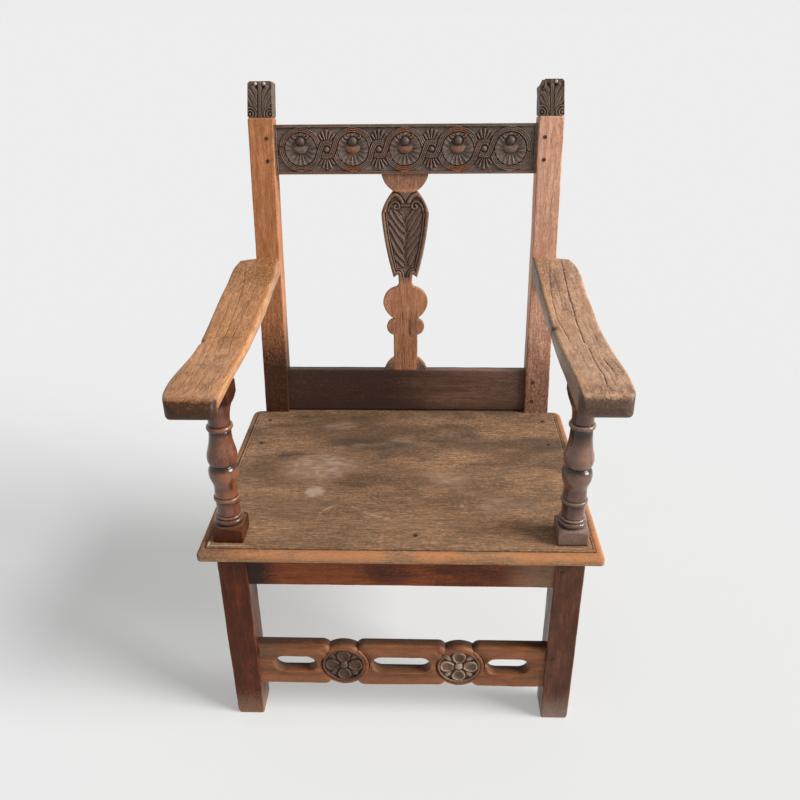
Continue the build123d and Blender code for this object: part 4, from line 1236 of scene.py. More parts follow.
# ------------------------------------------------------------- the stretcher
@dataclass
class Stretcher:
    """The pierced front stretcher: strapwork bars that run round two flowers."""

    chair: Chair
    bottom: float = 79.5
    height: float = 96.5
    thick: float = 24
    setback: float = 4
    offset: float = 109.5
    ring: float = 48
    disc: float = 40.4
    sink: float = 3.8
    bar_end_inset: float = 24
    bar_end_round: float = 16
    slot_height: float = 38
    slot_rise: float = 1.7
    slots: tuple[tuple[float, float], ...] = ((-202.5, 80), (0, 112), (202.5, 80))

    def plan(self, x: Array, y: Array) -> Array:
        """Gives how deep a place lies in the pierced bar."""
        wave = np.sin(x / 47) * ease(10, -20, y)

        def rounded_box(cx: float, half: float) -> Array:
            """Measures a bar with rounded corners."""
            qx = np.abs(x - cx) - half + self.bar_end_round
            qy = np.abs(y - wave) - self.height / 2 + self.bar_end_round
            out = np.hypot(np.maximum(qx, 0), np.maximum(qy, 0))
            return self.bar_end_round - out - np.minimum(np.maximum(qx, qy), 0)

        end = self.offset + self.bar_end_inset
        long = self.chair.leg_inner + 40
        depth = rounded_box(0, self.offset - self.bar_end_inset)
        for side in SIDES:
            depth = np.maximum(depth, rounded_box(side * (end + long) / 2, (long - end) / 2))
            depth = np.maximum(depth, self.ring - np.hypot(x - side * self.offset, y))
        depth = np.minimum(depth, self.chair.leg_inner + TENON - np.abs(x))
        return np.minimum(depth, self.slot_depth(x, y))

    def slot_depth(self, x: Array, y: Array) -> Array:
        """Measures how far places lie outside the nearest slot."""
        depth = np.full(x.shape, 1e3)
        for middle, width in self.slots:
            half = (width - self.slot_height) / 2
            near = np.hypot(np.maximum(np.abs(x - middle) - half, 0), y - self.slot_rise)
            depth = np.minimum(depth, near - self.slot_height / 2)
        return depth

    def flower(self, x: Array, y: Array) -> Array:
        """Carves one flower of four hollow petals in its round sinking."""
        r, angle = np.hypot(x, y), np.arctan2(y, x)
        face = np.full(r.shape, -self.sink)
        # four petals on the cross, each a hollow with a raised lip
        corner = (angle + math.pi / 4) % (math.pi / 2) - math.pi / 4
        px, py = r * np.cos(corner) - 21.4, r * np.sin(corner)
        petal = np.hypot(px / 14, py / (12.2 + 0.22 * px))
        hollow = -self.sink + 0.5 + 1.5 * np.clip(petal, 0, 1) ** 2
        lip = -self.sink + 3.7 * ridge(petal - 0.9, 0.15)
        face = np.where(petal < 1.05, np.maximum(hollow, lip), face)
        # a veined leaf tip between each two, then the middle knob and the rim
        diagonal = (angle % (math.pi / 2)) - math.pi / 4
        lx, ly = r * np.cos(diagonal) - 28, r * np.sin(diagonal)
        leaf = np.hypot(lx / 9.5, ly / (4.6 + 0.14 * lx))
        tip = -self.sink + 3.1 * ridge(leaf, 1) - 1.2 * scratch(ly, 0.8) * (leaf < 1)
        face = np.where(petal >= 1, np.maximum(face, tip), face)
        face = np.where(r < 9.6, -self.sink, face)
        face = np.maximum(face, -self.sink + 5.2 * ridge(r, 8.2) ** 0.8)
        rim = -0.3 - 1.4 * (1 - ridge(r - 38.4, 2.3))
        return np.where(r > 36.4, np.maximum(rim, -self.sink * ease(37.4, 36.4, r)), face)

    def relief(self, x: Array, y: Array, depth: Array) -> Array:
        """Carves the face: rounded bars, straps that run over them, and the flowers."""
        slot = self.slot_depth(x, y)
        outer = np.where(slot < depth + 0.5, 0, ease(4, 30, y))
        face = -arris(2 + 7 * outer, depth)
        for side in SIDES:
            dx = x - side * self.offset
            r, angle = np.hypot(dx, y), np.degrees(np.arctan2(y, dx))
            # the strap runs over the ring on its upper right, and under it on its left
            over = span(angle, -30, 5, 84, 112)
            sunk = 2 * span(r, 46.6, 47.8, 48, 66)
            cuts = 1.8 * scratch(r - 48.4, 1.1) + 1.3 * scratch(r - 52.6, 1)
            face = face - over * (sunk + cuts)
            under = np.clip(ease(150, 172, angle) + ease(-92, -112, angle), 0, 1)
            face = face - 2.8 * under * scratch(r - 42.6, 1.5) - 1.4 * under * ease(54, 43, r)
            notch = scratch(angle - 138, 5) * span(r, 39, 42, 52, 62)
            face = face - 2 * notch
            face = np.where(r < self.disc, self.flower(dx, y), face)
            face = face - 1.2 * scratch(r - self.disc - 0.6, 1)
        gouged = ease(7, 1, slot) * (np.abs(np.abs(x) - 150) < 24)
        face = face + gouged * 0.9 * ripple(x, y, 3.6, 73)
        return face + 0.35 * ripple(x, y, 22, 71) + 0.15 * ripple(x, y, 6, 72)

    def build(self, finish: Oak) -> None:
        """Builds the stretcher."""
        c = self.chair
        end, half = c.leg_inner + TENON, self.height / 2
        corners = (-end, -half), (end, half)
        made = carve(self.plan, self.relief, *corners, self.thick, step=1.1, edge=2)
        made.age(depth=0.8, passes=5, seed=74, rub=0.7)
        x, y, out = made.points.T
        r = np.minimum(np.hypot(x - self.offset, y), np.hypot(x + self.offset, y))
        front = out > -10  # the face, and not the back
        right, disc = x > 0, ease(39, 36, r) * front
        made.mark(dark=(0.8 - 0.3 * right) * ease(41, 38, r) * front)
        made.mark(pale=(0.35 + 0.65 * right) * disc * ease(-3.8, -1.2, out))
        made.mark(wear=0.55 * span(y, 16, 30, 38, 46) * ease(-14, -3, out))
        made.mark(wear=0.5 * ease(-22, -34, y) * front * (r > 44))
        made.mark(dark=0.55 * ease(-190, -265, x) * ease(0, 26, y))
        made.mark(dark=0.95 * ease(-7, -20, out) + 0.6 * ease(-4, -9, out) * (y > 30))
        dusty = ease(5, 0.5, self.slot_depth(x, y)) * (out < -4) * (y < 3)
        made.mark(pale=0.45 * dusty)
        face = Face((0, c.front_y + self.setback, self.bottom + half))
        c.make("stretcher", made.moved(face), finish, "dark_oak", "front_stretcher")


# --------------------------------------------------------------------- arms
@dataclass(frozen=True)
class ArmShape:
    """The lines of one arm; y runs back from the faces of the front posts."""

    side: int
    roll: float  # radius of the rolled end
    roll_top: float
    tip: float  # how far it stands in front of the post
    crown: Line  # y and height of the top
    outer: Line  # y and distance from the chair's middle
    cracks: tuple[tuple[Line, float], ...]  # places (distance from the middle, y), and depth
    blots: tuple[tuple[float, ...], ...]  # place, half sizes and strength of each stain
    knock: tuple[float, float, float]  # its place and depth
    lift: float = 0  # how far its underside is hollowed


LEFT_ARM = ArmShape(
    side=-1, roll=16.6, roll_top=734.6, tip=81,
    crown=(
        (-64.4, 734.6), (-17, 729.6), (38, 726.4), (83, 723.4), (137, 721), (185, 722),
        (218, 724.4), (267, 728.6), (341, 734.6), (424, 743.6), (464, 751.4), (498, 760.2),
        (540, 769),
    ),
    outer=(
        (-81, 342), (-70, 346), (-55, 352), (-34, 358), (0, 362.5), (40, 363),
        (128, 359), (211, 358.5), (294, 361.5), (369, 363.6), (436, 363.6), (466, 363.4),
        (493, 361), (518, 355), (540, 350),
    ),
    cracks=(
        (((344, 530), (328, 433), (320, 291), (316, 192), (315, 140)), 1.1),
        (((342, 389), (335, 260), (335, 205)), 0.8),
        (((300, 433), (302, 318), (302, 253), (302, 198), (295, 130)), 0.9),
        (((312, 420), (310, 330), (311, 262)), 0.6),
        (((330, 120), (326, 40), (322, -20)), 0.6),
        (((290, 70), (294, 10), (297, -50)), 0.5),
        (((352, 330), (349, 250)), 0.5),
    ),
    blots=(
        (304, 121, 16, 13, 0.9), (322, 79, 26, 6, 0.8), (337, 40, 17, 12, 0.75),
        (299, 200, 22, 5, 0.7), (318, 200, 40, 6, 0.45), (300, 60, 12, 24, 0.5),
        (345, 285, 12, 30, 0.4), (306, -10, 26, 20, 0.35),
    ),
    knock=(356, 184, 2.6),
)
RIGHT_ARM = ArmShape(
    side=1, roll=19, roll_top=748, tip=84,
    crown=(
        (-65, 748), (-40, 748.6), (-9, 747.4), (34, 743.4), (81, 739.8), (117, 737.6),
        (163, 734.8), (239, 734.2), (274, 736.6), (311, 741), (357, 744), (391, 749),
        (435, 757.4), (488, 763.4), (540, 768),
    ),
    outer=(
        (-84, 345), (-70, 348), (-55, 352), (-34, 353.5), (0, 355.5), (40, 356),
        (128, 355.5), (211, 355.8), (294, 356.8), (369, 358), (436, 358), (466, 357.5),
        (493, 355), (518, 349), (540, 344),
    ),
    cracks=(
        (((328, 532), (322, 426), (320, 339), (317, 247), (314, 150)), 1.6),
        (((300, 500), (290, 411), (284, 278), (288, 216), (290, 147)), 1),
        (((316, 123), (314, 49), (315, -6), (311, -48)), 1.2),
        (((330, 68), (334, 12), (330, -23)), 1.2),
        (((322, 60), (325, 10), (324, -40)), 0.9),
        (((318, 467), (348, 472)), 1),
        (((304, 470), (303, 380), (300, 290)), 0.7),
        (((338, 90), (345, 40), (346, 10)), 0.8),
        (((300, 110), (297, 60), (300, 10)), 0.6),
        (((283, 90), (286, 70), (296, 62)), 0.7),
    ),
    blots=(
        (315, 310, 16, 42, 0.75), (300, 400, 14, 44, 0.5), (322, 120, 24, 30, 0.6),
        (330, 40, 24, 34, 0.55), (341, 180, 10, 40, 0.45), (300, 30, 20, 14, 0.4),
        (296, -52, 30, 22, 0.8), (340, -52, 26, 22, 0.8),
    ),
    knock=(272, 219, 3.2),
    lift=2.5,
)


@dataclass
class Arm:
    """A broad arm that sweeps down from the rear post and ends in a roll."""

    chair: Chair
    shape: ArmShape
    bed: float = 711
    rear_rise: float = 60
    slope: float = 12
    top_edge: float = 6.5
    under_edge: float = 3
    roll_corner: float = 13
    width: float = 90
    across: int = 58

    def heights(self, y: Array) -> Array:
        """Gives the underside's height at places from front to back."""
        c = self.chair
        bed, lift = self.bed, self.bed + self.shape.lift
        line = smooth_line((
            (c.front_y, bed), (c.front_y + 64, bed), (c.front_y + 120, bed - 2.6),
            (c.front_y + 190, lift - 4), (c.front_y + 330, lift + 1.5),
            (c.back_y - 60, bed + 12), (c.back_y + 52, bed + 20),
        ))
        return np.interp(y, line[:, 0], line[:, 1])

    def ring(self, share: float) -> Array:
        """Draws the arm's side view at one share of its width.

        Args:
            share: 0 on the inner edge, 1 on the outer edge.

        Returns:
            Places along the chair and up, from the rear over the roll and back below.
        """
        c, s = self.chair, self.shape
        width = self.width
        edge = min(share, 1 - share) * width
        over, below = float(arris(self.top_edge, edge)), float(arris(self.under_edge, edge))
        rear = c.back_y + (self.bed + self.rear_rise - c.seat) * math.tan(c.lean)
        post = c.post_outer - c.post_inner
        wing = (share * width - post) / (width - post)
        end = rear - self.slope * min(max(wing, 0), 1) - float(arris(4, edge))
        roll_y, roll_z = c.front_y - s.tip + s.roll, s.roll_top - s.roll
        radius = s.roll - min(over, s.roll - 9)
        drop = min(max((roll_z - self.bed - below) / radius, 0), 0.97)
        turn = np.linspace(math.pi / 2, 2 * math.pi - math.asin(drop), 40)
        t = np.linspace(0, 1, 132)
        crown = smooth_line(s.crown)
        y = end + (roll_y - end) * t
        z = np.interp(y - c.front_y, crown[:, 0], crown[:, 1]) - over
        z = z - arris(5, end - y + 0.5) * (share * width > post)
        z = z + (roll_z + radius - z[-1]) * ease(26, 0, y - roll_y)
        round_y, round_z = roll_y + radius * np.cos(turn), roll_z + radius * np.sin(turn)
        start_y, start_z = round_y[-1], round_z[-1]
        low_y = start_y + (end - start_y) * t
        low_z = self.heights(low_y) + below
        low_z = low_z + (start_z - low_z[0]) * ease(9, 0, low_y - start_y)
        sides = ([y, round_y[1:-1], low_y], [z, round_z[1:-1], low_z])
        return np.stack([np.concatenate(side) for side in sides], -1)

    def build(self, finish: Oak) -> None:
        """Builds the arm."""
        c, s = self.chair, self.shape
        line = smooth_line(s.outer)
        near = np.array([0, 0.4, 1.2, 2.6, 4.4, 6.6]) / self.width
        middle = np.linspace(near[-1], 1 - near[-1], self.across)[1:-1]
        rings = []
        for share in np.concatenate([near, middle, 1 - near[::-1]]):
            side_view = self.ring(float(share))
            y = side_view[:, 0] - c.front_y
            past = np.maximum(y + s.tip, 0)
            outer = np.interp(y, line[:, 0], line[:, 1]) - c.post_inner
            outer = outer - arris(self.roll_corner, past)
            inner = arris(4, past)
            x = s.side * (c.post_inner + inner + share * (outer - inner))
            rings.append(np.concatenate([x[:, None], side_view], -1))
        seed = 80 + 3 * s.side
        arm = skin(np.array(rings))
        arm.roughen(0.6, (60, 110, 60), seed).roughen(0.2, (12, 30, 12), seed + 1)
        arm.age(depth=0.7, passes=6, seed=seed, rub=0.12)
        self.handled(arm)
        name = SIDES[s.side]
        c.make(f"armrest_{name}", arm, finish, "arm_oak", f"arm_{name}")

    def handled(self, arm: Surface) -> None:
        """Opens the cracks, adds painted shade on the roll and underside, painted light and shade
        on the inner faces, a painted highlight on the inner edge, and the knocks.
        """
        c, s = self.chair, self.shape
        p = arm.points
        x, y = s.side * p[:, 0], p[:, 1] - c.front_y
        facing = arm.normals()
        upper = ease(0.1, 0.6, facing[:, 2])
        strayed = x + 0.8 * ripple(x, y, 16, 94)
        for line, deep in s.cracks:
            cut = scratch(reach(strayed, y, smooth_line(line, 8)), 0.85) * upper
            arm.points = arm.points - facing * (deep * cut)[:, None]
            arm.mark(dirt=min(1, 0.65 * deep) * cut)
        ragged = 0.7 + 0.6 * ripple(x, y, (7, 12, 1), 91)
        for place in s.blots:
            arm.mark(dark=0.62 * upper * spot(x, y, place) * ragged)
        roll_z = s.roll_top - s.roll
        # painted shade on the lower half of the roll, where it turns away from the light
        arm.mark(dark=1.3 * ease(roll_z + 20, roll_z + 11, p[:, 2]) * ease(32, 14, y + s.tip))
        # darker towards the back, and painted shade on every face that looks down
        arm.mark(dark=0.36 * ease(340, 460, y) + 0.85 * ease(-0.2, -0.8, facing[:, 2]))
        # painted shade and a grey tone on the right arm's inner face, which looks away from the key
        # light; painted light on the left arm's inner face, which faces it
        flank, right = ease(-0.3, -0.8, s.side * facing[:, 0]), s.side > 0
        arm.mark(dark=0.45 * flank * right, pale=(0.62 if right else 0.25) * flank, polish=0.6)
        # painted highlight along the rounded inner top edge, laid on with the wear mark
        bright = scratch(x - c.post_inner - 8, 9) * upper * ease(-70, -30, y)
        arm.mark(wear=0.55 * bright * (0.55 + 0.45 * ripple(x, y, (30, 60, 1), 95)))
        chalk = scratch(x - c.post_inner - 3.5, 2.2) * ease(-52, -72, y) * (not right)
        arm.mark(pale=1.1 * chalk + 0.8 * ease(340, 350, x) * ease(-58, -74, y) * right)
        away, run, deep = s.knock
        z = np.interp(run, *np.array(s.crown).T) - 2
        arm.bite((s.side * away, c.front_y + run, z), (9, 13, 12), deep)


# --------------------------------------------------------------------- back
@dataclass
class Crest:
    """The carved crest rail: a running guilloche round five petalled rosettes."""

    chair: Chair
    middle: float = 570.5
    height: float = 98
    thick: float = 28
    setback: float = 4
    border: float = 5.6
    sink: float = 4.6
    pitch: float = 107.5
    ring: float = 38.6
    band: float = 5.2
    link: float = 13.2
    petals: int = 17
    boss: float = 8.8
    boss_rise: float = 16
    volute: Line = (
        (0, 37), (4, 37.4), (9, 34.6), (13.6, 30.6), (15.6, 26), (13.6, 22.4), (10.4, 23),
    )
    rays: Line = ((-0.66, 27), (-0.32, 30), (0, 31.5), (0.32, 30), (0.66, 27))

    def strands(self) -> tuple[Array, Array]:
        """Draws the two strands, which pass over and under the rosettes in turn."""

        def curve(x: float, radius: float, sign: int, turns: Array) -> list[tuple[float, float]]:
            """Gives places on a circle about x, seen from above it or below it."""
            across, up = np.cos(np.radians(turns)), np.sin(np.radians(turns))
            return list(zip(x + radius * across, sign * radius * up))

        lines, last = [], 2 * self.pitch
        for sign in (1, -1):
            knots = curve(-last, self.ring, sign, [180, 165])
            for k in range(-2, 3):
                x = k * self.pitch
                knots += curve(x, self.ring, sign, np.linspace(150, 30, 9))
                if k < 2:
                    knots += curve(x + self.pitch / 2, self.link, -sign, np.linspace(140, 40, 4))
            knots += curve(last, self.ring, sign, [15, 0])
            lines.append(smooth_line(knots, 3))
        return lines[0], lines[1]

    def spray(self, across: Array, up: Array) -> Array:
        """Carves a spray of flutes that fans from a link to the border."""
        r, turn = np.hypot(across, up - 9), np.arctan2(across, up - 9)
        best = np.zeros(r.shape)
        for lean, tip in self.rays:
            wide = 0.9 + 0.072 * r
            off = r * np.sin(turn - lean) / wide
            past = np.clip(r * np.cos(turn - lean) - tip + wide, 0, None) / wide
            best = np.maximum(best, ridge(np.hypot(off, past), 1) * (np.cos(turn - lean) > 0.3))
        return 3.9 * best * ease(7, 11, r)

    def rosette(self, dx: Array, y: Array) -> Array:
        """Carves a dish of hollow petals, with a cup for its boss and two volutes."""
        r, turn = np.hypot(dx, y), np.arctan2(y, dx)
        lobe = np.abs(np.sin(self.petals / 2 * (turn + 0.2)))
        rim = 30.6 + 2.2 * np.sqrt(lobe)
        bowl = 0.4 + 3 * ease(8, 31, r) + 1.7 * (1 - lobe) ** 1.6 * ease(8, 16, r)
        face = np.where(r < rim, bowl, 0)
        # the swelling that holds the boss, the boss's seat, and the volutes above it
        cup = np.hypot(dx, y - 6.8)
        swell = 1.2 + 4.6 * ridge(cup, 16.2) * ease(14, -4, y)
        face = np.where(cup < 15.8, np.maximum(face, swell), face)
        face = np.where(np.hypot(dx, y - self.boss_rise) < self.boss + 1.9, 0.4, face)
        curl = reach(np.abs(dx), y, smooth_line(self.volute, 6))
        face = np.where(curl < 3, 0.6, face)
        return np.where(curl < 2.5, 0.8 + 4.4 * ridge(curl, 2.6), face)

    def ribbon(self, away: Array) -> Array:
        """Shapes a flat ribbon with two cut lines, at a distance from its middle."""
        flat = 4 * ease(self.band + 0.4, self.band - 1, away)
        return flat - 1.7 * scratch(away - 1.75, 0.75)

    def relief(self, x: Array, y: Array, depth: Array) -> Array:
        """Carves the crest's face."""
        rough = 0.25 * ripple(x, y, 30, 103) + 0.25 * ripple(x, y, 4, 104)
        x, y = x + 0.6 * ripple(x, y, 17, 101), y + 0.6 * ripple(x, y, 17, 102)
        k = np.clip(np.round(x / self.pitch), -2, 2)
        dx = x - k * self.pitch
        lx = x - (np.clip(np.round(x / self.pitch - 0.5), -2, 1) + 0.5) * self.pitch
        face = self.spray(lx, np.abs(y))
        face = np.where(np.hypot(dx, y) < self.ring, self.rosette(dx, y), face)
        bead = np.hypot(lx, y)
        face = np.where(bead < self.link - 3, 0.2 + 5.4 * ridge(bead, 5.8), face)
        over, under = self.strands()
        a, b = reach(x, y, over), reach(x, y, under)
        above, below = np.where(lx > 0, a, b), np.where(lx > 0, b, a)
        face = np.where(below < self.band + 0.6, self.ribbon(below), face)
        face = np.where(above < self.band + 1.4, 0.4, face)
        face = np.where(above < self.band + 0.4, self.ribbon(above), face)
        face = face - self.sink
        rail, side = self.height / 2 - np.abs(y), self.chair.post_inner - np.abs(x)
        margin = np.minimum(rail, side)
        fillet = ease(self.border + 0.9, self.border - 0.3, margin)
        face = face * (1 - fillet) - 0.3 * fillet
        face = face - 1.1 * scratch(margin - 3, 0.8) - arris(1.4, depth)
        return face + rough

    def build(self, finish: Oak) -> None:
        """Builds the crest rail and its bosses."""
        c = self.chair
        end, half = c.post_inner + TENON, self.height / 2

        def plan(x: Array, y: Array) -> Array:
            """Gives how deep a place lies in the straight rail."""
            return np.minimum(half - np.abs(y), end - np.abs(x))

        rail = carve(plan, self.relief, (-end, -half), (end, half), self.thick, step=0.9)
        rail.age(depth=1.1, passes=5, seed=105, rub=0.8)
        self.colour(rail)
        parts = [rail]
        for k in range(-2, 3):
            knob = dome(self.boss, rise=8.6, count=14)
            knob.points = knob.points + [k * self.pitch, self.boss_rise, -self.sink + 1.4]
            parts.append(knob.roughen(0.4, 6, 110 + k).mark(dark=0.5).mark(pale=0.25))
        face = c.back_face(0, self.middle, -self.setback)
        c.make("crest", joined(parts).moved(face), finish, "dark_oak", "crest_rail")

    def colour(self, rail: Surface) -> None:
        """Rubs the high carving of the three middle rosettes red, and dusts the dishes."""
        x, y, out = rail.points.T
        k = np.clip(np.round(x / self.pitch), -2, 2)
        dx = x - k * self.pitch
        r = np.hypot(dx, y)
        bright = np.where(np.abs(k) < 2, 1, 0.3) * (out > -self.sink - 0.5)
        cup = ease(16.5, 14, np.hypot(dx, y - 6.8)) * ease(10, 2, y)
        curl = ease(4, 2, reach(np.abs(dx), y, smooth_line(self.volute, 6)))
        near = r < self.ring + 6
        foot = ease(-29, -35, y) * ease(26, 14, np.abs(dx)) * near
        head = ease(33, 37, y) * ease(24, 12, np.abs(dx)) * near
        high = ease(-4.2, -1.2, out)
        rail.mark(wear=bright * high * (0.7 * cup + 0.55 * curl + 0.95 * foot + 0.45 * head))
        rail.mark(wear=0.25 * ease(4, 2, np.abs(y + 46)) * high)
        rail.mark(dark=0.55 * ease(32, 28, r) * ease(-0.9, -2.2, out) * (1 - cup))
        rail.mark(pale=0.2 * span(r, 15, 19, 28, 32) * (1 - cup) * (out > -9))


@dataclass
class Splat:
    """The shaped splat: half bowl, leafy carved vase, heart and footed shaft."""

    chair: Chair
    top: float = 521.5
    foot: float = 96
    thick: float = 16
    setback: float = 10
    bowl: tuple[float, float] = (49, 34)
    waist: float = 25
    leaf: tuple[float, float, float] = (50.5, 47, 182)
    tips: tuple[float, float] = (25.4, 4)
    neck: tuple[float, float] = (14, 15)
    ear: tuple[float, float] = (18.5, 5)
    heart: tuple[float, float, float] = (48.5, 41, 76)
    heart_waist: float = 24
    roll: tuple[float, float] = (40, 36)
    shaft: float = 26.2
    base: tuple[float, float] = (48, 30)
    sink: float = 4.6
    blade: float = 19
    strap: Line = (  # spread and depth below the waist
        (44.9, 47), (42.6, 32), (38, 20.5), (31, 12), (23, 8.2), (15.5, 10.4),
        (10, 16), (6.6, 22.6),
    )
    scroll: Line = (
        (38.6, 47), (35.2, 34), (30, 26), (22.6, 22.4), (15.6, 25), (13.2, 31),
        (16.6, 36.6), (22.4, 36.2), (24.4, 31.4), (21, 29.4),
    )
    tie: Line = ((0, 31), (7, 30.6), (13.2, 28.4))
    turn_in: float = 44  # above this depth the straps leave the edge and curl
    strands: tuple[tuple[float, ...], ...] = (  # moat, edge, foot, rise, half width, floor
        (3.6, 2.7, 0, 3.6, 2.9, -0.2), (3.2, 2.4, 0, 4, 2.6, 0),
        (5, 4.1, 1, 3.7, 4.3, 0),
    )

    def outline(self) -> Array:
        """Draws the whole outline."""
        waist_up = self.top - self.bowl[1]
        wide = waist_up - self.leaf[1]
        tip = waist_up - self.leaf[2]
        neck_foot = tip - self.neck[1]
        heart_wide, heart_foot = neck_foot - self.heart[1], neck_foot - self.heart[2]
        roll_foot = heart_foot - self.roll[1]
        roll, foot_top = self.roll[0] - self.heart_waist, self.foot + self.base[1]
        half = np.vstack([
            [(0, self.top + 2)], [(self.bowl[0], self.top + 2)],
            arc((self.bowl[0], self.top), (self.waist, waist_up), 4.5),
            arc((self.waist, waist_up), (self.leaf[0], wide), 3.6),
            arc((self.leaf[0], wide), (self.tips[0], tip), 3.6),
            [(self.neck[0] + 1.5, tip + self.tips[1] + 3)],
            [(self.neck[0], neck_foot + 2)], [(self.ear[0], neck_foot - self.ear[1])],
            arc((self.ear[0], neck_foot - self.ear[1]), (self.heart[0], heart_wide), 9),
            arc((self.heart[0], heart_wide), (self.heart_waist, heart_foot), 5),
            arc((self.heart_waist, heart_foot), (self.shaft, roll_foot), roll),
            [(self.shaft, foot_top)],
            arc((self.shaft, foot_top), (self.base[0], self.foot), 4),
            [(self.base[0], self.foot - 2)], [(0, self.foot - 2)],
        ])
        return np.vstack([half, half[::-1] * [-1, 1]]) - [0.8, 0]

    def leaves(self, x: Array, level: Array) -> Array:
        """Carves long blades that sweep down and inwards, each lapped over the next."""
        spread = np.abs(x - 2.6 * np.sin(level / 12 + 0.6) * ease(44, 60, level))
        fall = level + 1.12 * spread + 0.008 * spread**2 + np.where(x > 0, 8, 0)
        fall = fall + 3.2 * ripple(x, level, 19, 124)
        part = (fall / self.blade) % 1
        face = 0.3 + 3.9 * part**0.7 * ease(1, 0.88, part) + 0.45 * np.cos(part * 6 * math.pi)
        gap = 2.2 + 6 * (1 - part) ** 2 + 10 * ease(60, 34, level)
        gap = gap + 8 * ease(148, 168, level)
        return np.where(spread < gap, 0.3 + 0.8 * ripple(x, level, 2.6, 123), face)

    def relief(self, x: Array, y: Array, depth: Array) -> Array:
        """Carves the vase with leaves between two straps; the rest stays plain."""
        level = self.top - self.bowl[1] - y
        length = self.leaf[2]
        wx, level = x + 0.6 * ripple(x, y, 13, 120), level + 0.6 * ripple(x, y, 13, 121)
        spread = np.abs(wx)
        carved = self.leaves(wx, level)
        down = level > self.turn_in
        curl, rise, bar = (
            reach(spread, level, smooth_line(line, 6))
            for line in (self.scroll, self.strap, self.tie)
        )
        inner = np.abs(np.where(down, depth - 10.2, curl))
        outer = np.abs(np.where(down, depth - 3.9, rise))
        above = (level < 24) & (spread < 46)
        carved = np.where(above & (level < 20 + 0.35 * np.abs(spread - 22)), -0.6, carved)
        for away, (moat, edge, foot, high, half, floor) in zip((bar, inner, outer), self.strands):
            strand = np.where(away < edge, foot + high * ridge(away, half), floor)
            carved = np.where(away < moat, strand, carved)
        edge = 12 * np.clip(1 - (level - 5) / 17, 0, 1) ** 1.2
        edge = np.where(level < 5, 12 + 14 * ease(5, -1, level), edge)
        carved = np.where((spread < edge) & (outer > 4.6), self.sink - 0.3, carved)
        inside = span(level, 0.2, 2.2, length - 2, length + 1)
        face = -arris(2.2, depth) + inside * (carved - self.sink)
        plain = 1 - inside
        veer = x + 3 + 0.02 * y + 1.5 * np.sin(y / 31)
        cracks = 0.9 * scratch(veer, 0.7) * ease(250, 225, y)
        cracks = cracks + 0.6 * scratch(veer - 14 + 0.03 * y, 0.6) * span(y, 225, 240, 285, 300)
        return face - cracks * plain + 0.3 * ripple(x, y, 26, 122) * plain

    def build(self, finish: Oak) -> None:
        """Builds the splat."""
        c = self.chair
        line = self.outline()
        low, high = (-50, self.foot - 2), (50, self.top + 2)
        made = carve(
            lambda x, y: within(x, y, line), self.relief, low, high, self.thick, step=0.9, edge=2
        )
        made.age(depth=1, passes=5, seed=125, rub=0.3)
        x, y, out = made.points.T
        level = self.top - self.bowl[1] - y
        depth = within(x, y, line)
        front, spread = out > -9, np.abs(x)  # front: the face, and not the back
        carved = span(level, 0, 5, self.leaf[2] - 4, self.leaf[2] + 16)
        curled = ease(5, 3.6, reach(spread, level, smooth_line(self.strap, 6)))
        strap = np.where(level > self.turn_in, ease(9, 7, depth), curled)
        curl = ease(4, 2.4, reach(spread, level, smooth_line(self.scroll[5:], 6)))
        made.mark(dark=carved * (0.95 - 0.2 * strap - 0.2 * curl) * front)
        made.mark(wear=0.14 * strap * carved * front * ease(150, 60, level))
        made.mark(pale=0.3 * carved * (1 - strap) * ease(-3.6, -1.4, out))
        made.mark(dark=0.5 * ease(-1, -7, level) + 0.6 * ease(-5, -12, out))
        made.mark(dark=0.95 * ease(self.foot + 34, self.foot + 6, y) * ease(20, 32, spread))
        rim = ease(4, 1, depth) * ease(150, 260, y) * front * (level > 190)
        made.mark(dark=0.3 * rim)
        placed = made.moved(c.back_face(0, 0, -self.setback))
        c.make("splat_board", placed, finish, "dark_oak", "splat")


@dataclass
class LowerRail:
    """The plain lower rail of the back."""

    chair: Chair
    middle: float = 51.2
    height: float = 94.4
    thick: float = 24
    setback: float = 8

    def build(self, finish: Oak) -> None:
        """Builds the rail."""
        c = self.chair
        place = c.back_face(0, self.middle, -self.setback - self.thick / 2)
        end = c.post_inner + TENON
        rail = bar(place, (-end, end), (self.height, self.thick), radius=2.2, seed=21)
        x, z = rail.points[:, 0], rail.points[:, 2]
        z = z - c.seat
        # darker to the left and towards the seat, paler at the top edge
        rail.mark(dark=0.85 * ease(90, -60, x) + 0.6 * ease(30, 6, z))
        rail.mark(pale=0.2 * ease(60, 200, x) + 0.4 * ease(90, 98, z))
        c.make("lower_rail", rail, finish, "dark_oak", "lower_back_rail")


